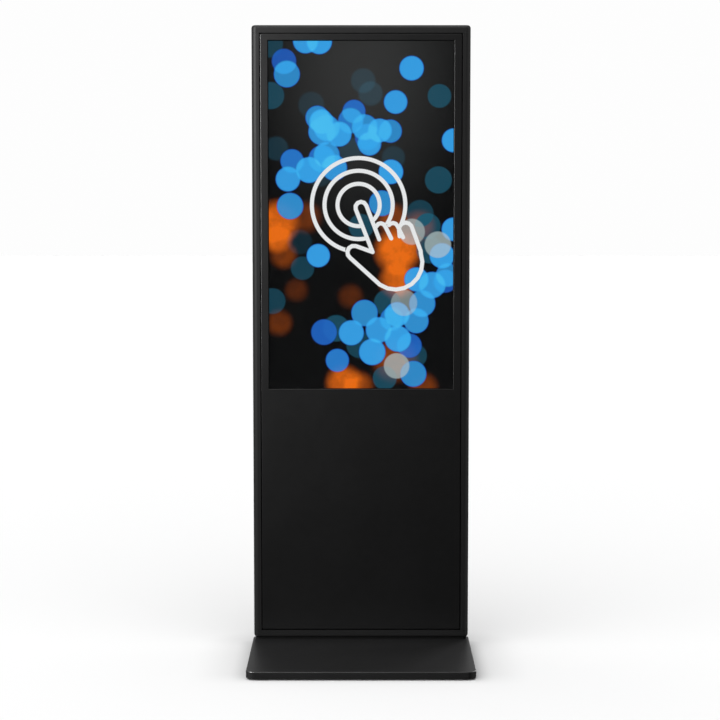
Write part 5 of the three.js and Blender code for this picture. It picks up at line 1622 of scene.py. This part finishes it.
class KIOSK_OT_feet(KioskOperator, bpy.types.Operator):
    """Make the four rubber feet"""
    bl_idname = "kiosk.feet"
    bl_label = "Feet"
    make = staticmethod(make_feet)


class KIOSK_OT_rear_covers(KioskOperator, bpy.types.Operator):
    """Make the two rear covers with their slots and cuts"""
    bl_idname = "kiosk.rear_covers"
    bl_label = "Rear Covers"
    make = staticmethod(make_rear_covers)


class KIOSK_OT_cover_screws(KioskOperator, bpy.types.Operator):
    """Make the screws that hold the rear covers"""
    bl_idname = "kiosk.cover_screws"
    bl_label = "Cover Screws"
    make = staticmethod(make_cover_screws)


class KIOSK_OT_service_door(KioskOperator, bpy.types.Operator):
    """Make the service door"""
    bl_idname = "kiosk.service_door"
    bl_label = "Service Door"
    make = staticmethod(make_service_door)


class KIOSK_OT_hinges(KioskOperator, bpy.types.Operator):
    """Make the service door's two hinges with their screws"""
    bl_idname = "kiosk.hinges"
    bl_label = "Hinges"
    make = staticmethod(make_hinges)


class KIOSK_OT_lock(KioskOperator, bpy.types.Operator):
    """Make the cam lock"""
    bl_idname = "kiosk.lock"
    bl_label = "Lock"
    make = staticmethod(make_lock)


class KIOSK_OT_connections(KioskOperator, bpy.types.Operator):
    """Make the mains inlet, the rocker, the network socket and the power button"""
    bl_idname = "kiosk.connections"
    bl_label = "Connection Row"
    make = staticmethod(make_connections)


class KIOSK_OT_structure(KioskOperator, bpy.types.Operator):
    """Finish the uprights, the crossbars, the base bolts and the equipment plate"""
    bl_idname = "kiosk.structure"
    bl_label = "Inner Structure"
    make = staticmethod(make_structure)


class KIOSK_OT_equipment(KioskOperator, bpy.types.Operator):
    """Finish the power supply, the media player and the two boards"""
    bl_idname = "kiosk.equipment"
    bl_label = "Equipment"
    make = staticmethod(make_equipment)


class KIOSK_OT_speakers(KioskOperator, bpy.types.Operator):
    """Make the two speakers"""
    bl_idname = "kiosk.speakers"
    bl_label = "Speakers"
    make = staticmethod(make_speakers)


class KIOSK_OT_fans(KioskOperator, bpy.types.Operator):
    """Make the two fans"""
    bl_idname = "kiosk.fans"
    bl_label = "Fans"
    make = staticmethod(make_fans)


class KIOSK_OT_cables(KioskOperator, bpy.types.Operator):
    """Finish the inner cables"""
    bl_idname = "kiosk.cables"
    bl_label = "Cables"
    make = staticmethod(make_cables)


OPERATORS = (
    KIOSK_OT_stage, KIOSK_OT_side_rails, KIOSK_OT_end_rails, KIOSK_OT_fascia, KIOSK_OT_display,
    KIOSK_OT_base, KIOSK_OT_feet, KIOSK_OT_rear_covers, KIOSK_OT_cover_screws, KIOSK_OT_service_door,
    KIOSK_OT_hinges, KIOSK_OT_lock, KIOSK_OT_connections, KIOSK_OT_structure, KIOSK_OT_equipment,
    KIOSK_OT_speakers, KIOSK_OT_fans, KIOSK_OT_cables, KIOSK_OT_lights,
)


class KIOSK_PT_panel(bpy.types.Panel):
    """The kiosk's operators, sizes, colours and stage"""
    bl_idname = "KIOSK_PT_panel"
    bl_label = "Touchscreen Kiosk"
    bl_space_type = "VIEW_3D"
    bl_region_type = "UI"
    bl_category = "Kiosk"

    def draw(self, context):
        for group in (context.scene.kiosk_sizes, context.scene.kiosk_colours, context.scene.kiosk_stage):
            box = self.layout.box()
            for name in type(group).__annotations__:
                box.prop(group, name)
        for operator in OPERATORS:
            self.layout.operator(operator.bl_idname)


GROUPS = {"kiosk_sizes": KioskSizes, "kiosk_colours": KioskColours, "kiosk_stage": KioskStage}


def register():
    for made in (*GROUPS.values(), *OPERATORS, KIOSK_PT_panel):
        bpy.utils.register_class(made)
    for name, kind in GROUPS.items():
        setattr(bpy.types.Scene, name, bpy.props.PointerProperty(type=kind))


def unregister():
    for name in GROUPS:
        delattr(bpy.types.Scene, name)
    for made in reversed((*GROUPS.values(), *OPERATORS, KIOSK_PT_panel)):
        bpy.utils.unregister_class(made)


def main():
    """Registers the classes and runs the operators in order."""
    register()
    for operator in OPERATORS:
        section, name = operator.bl_idname.split(".")
        getattr(getattr(bpy.ops, section), name)()


if __name__ == "__main__":
    main()
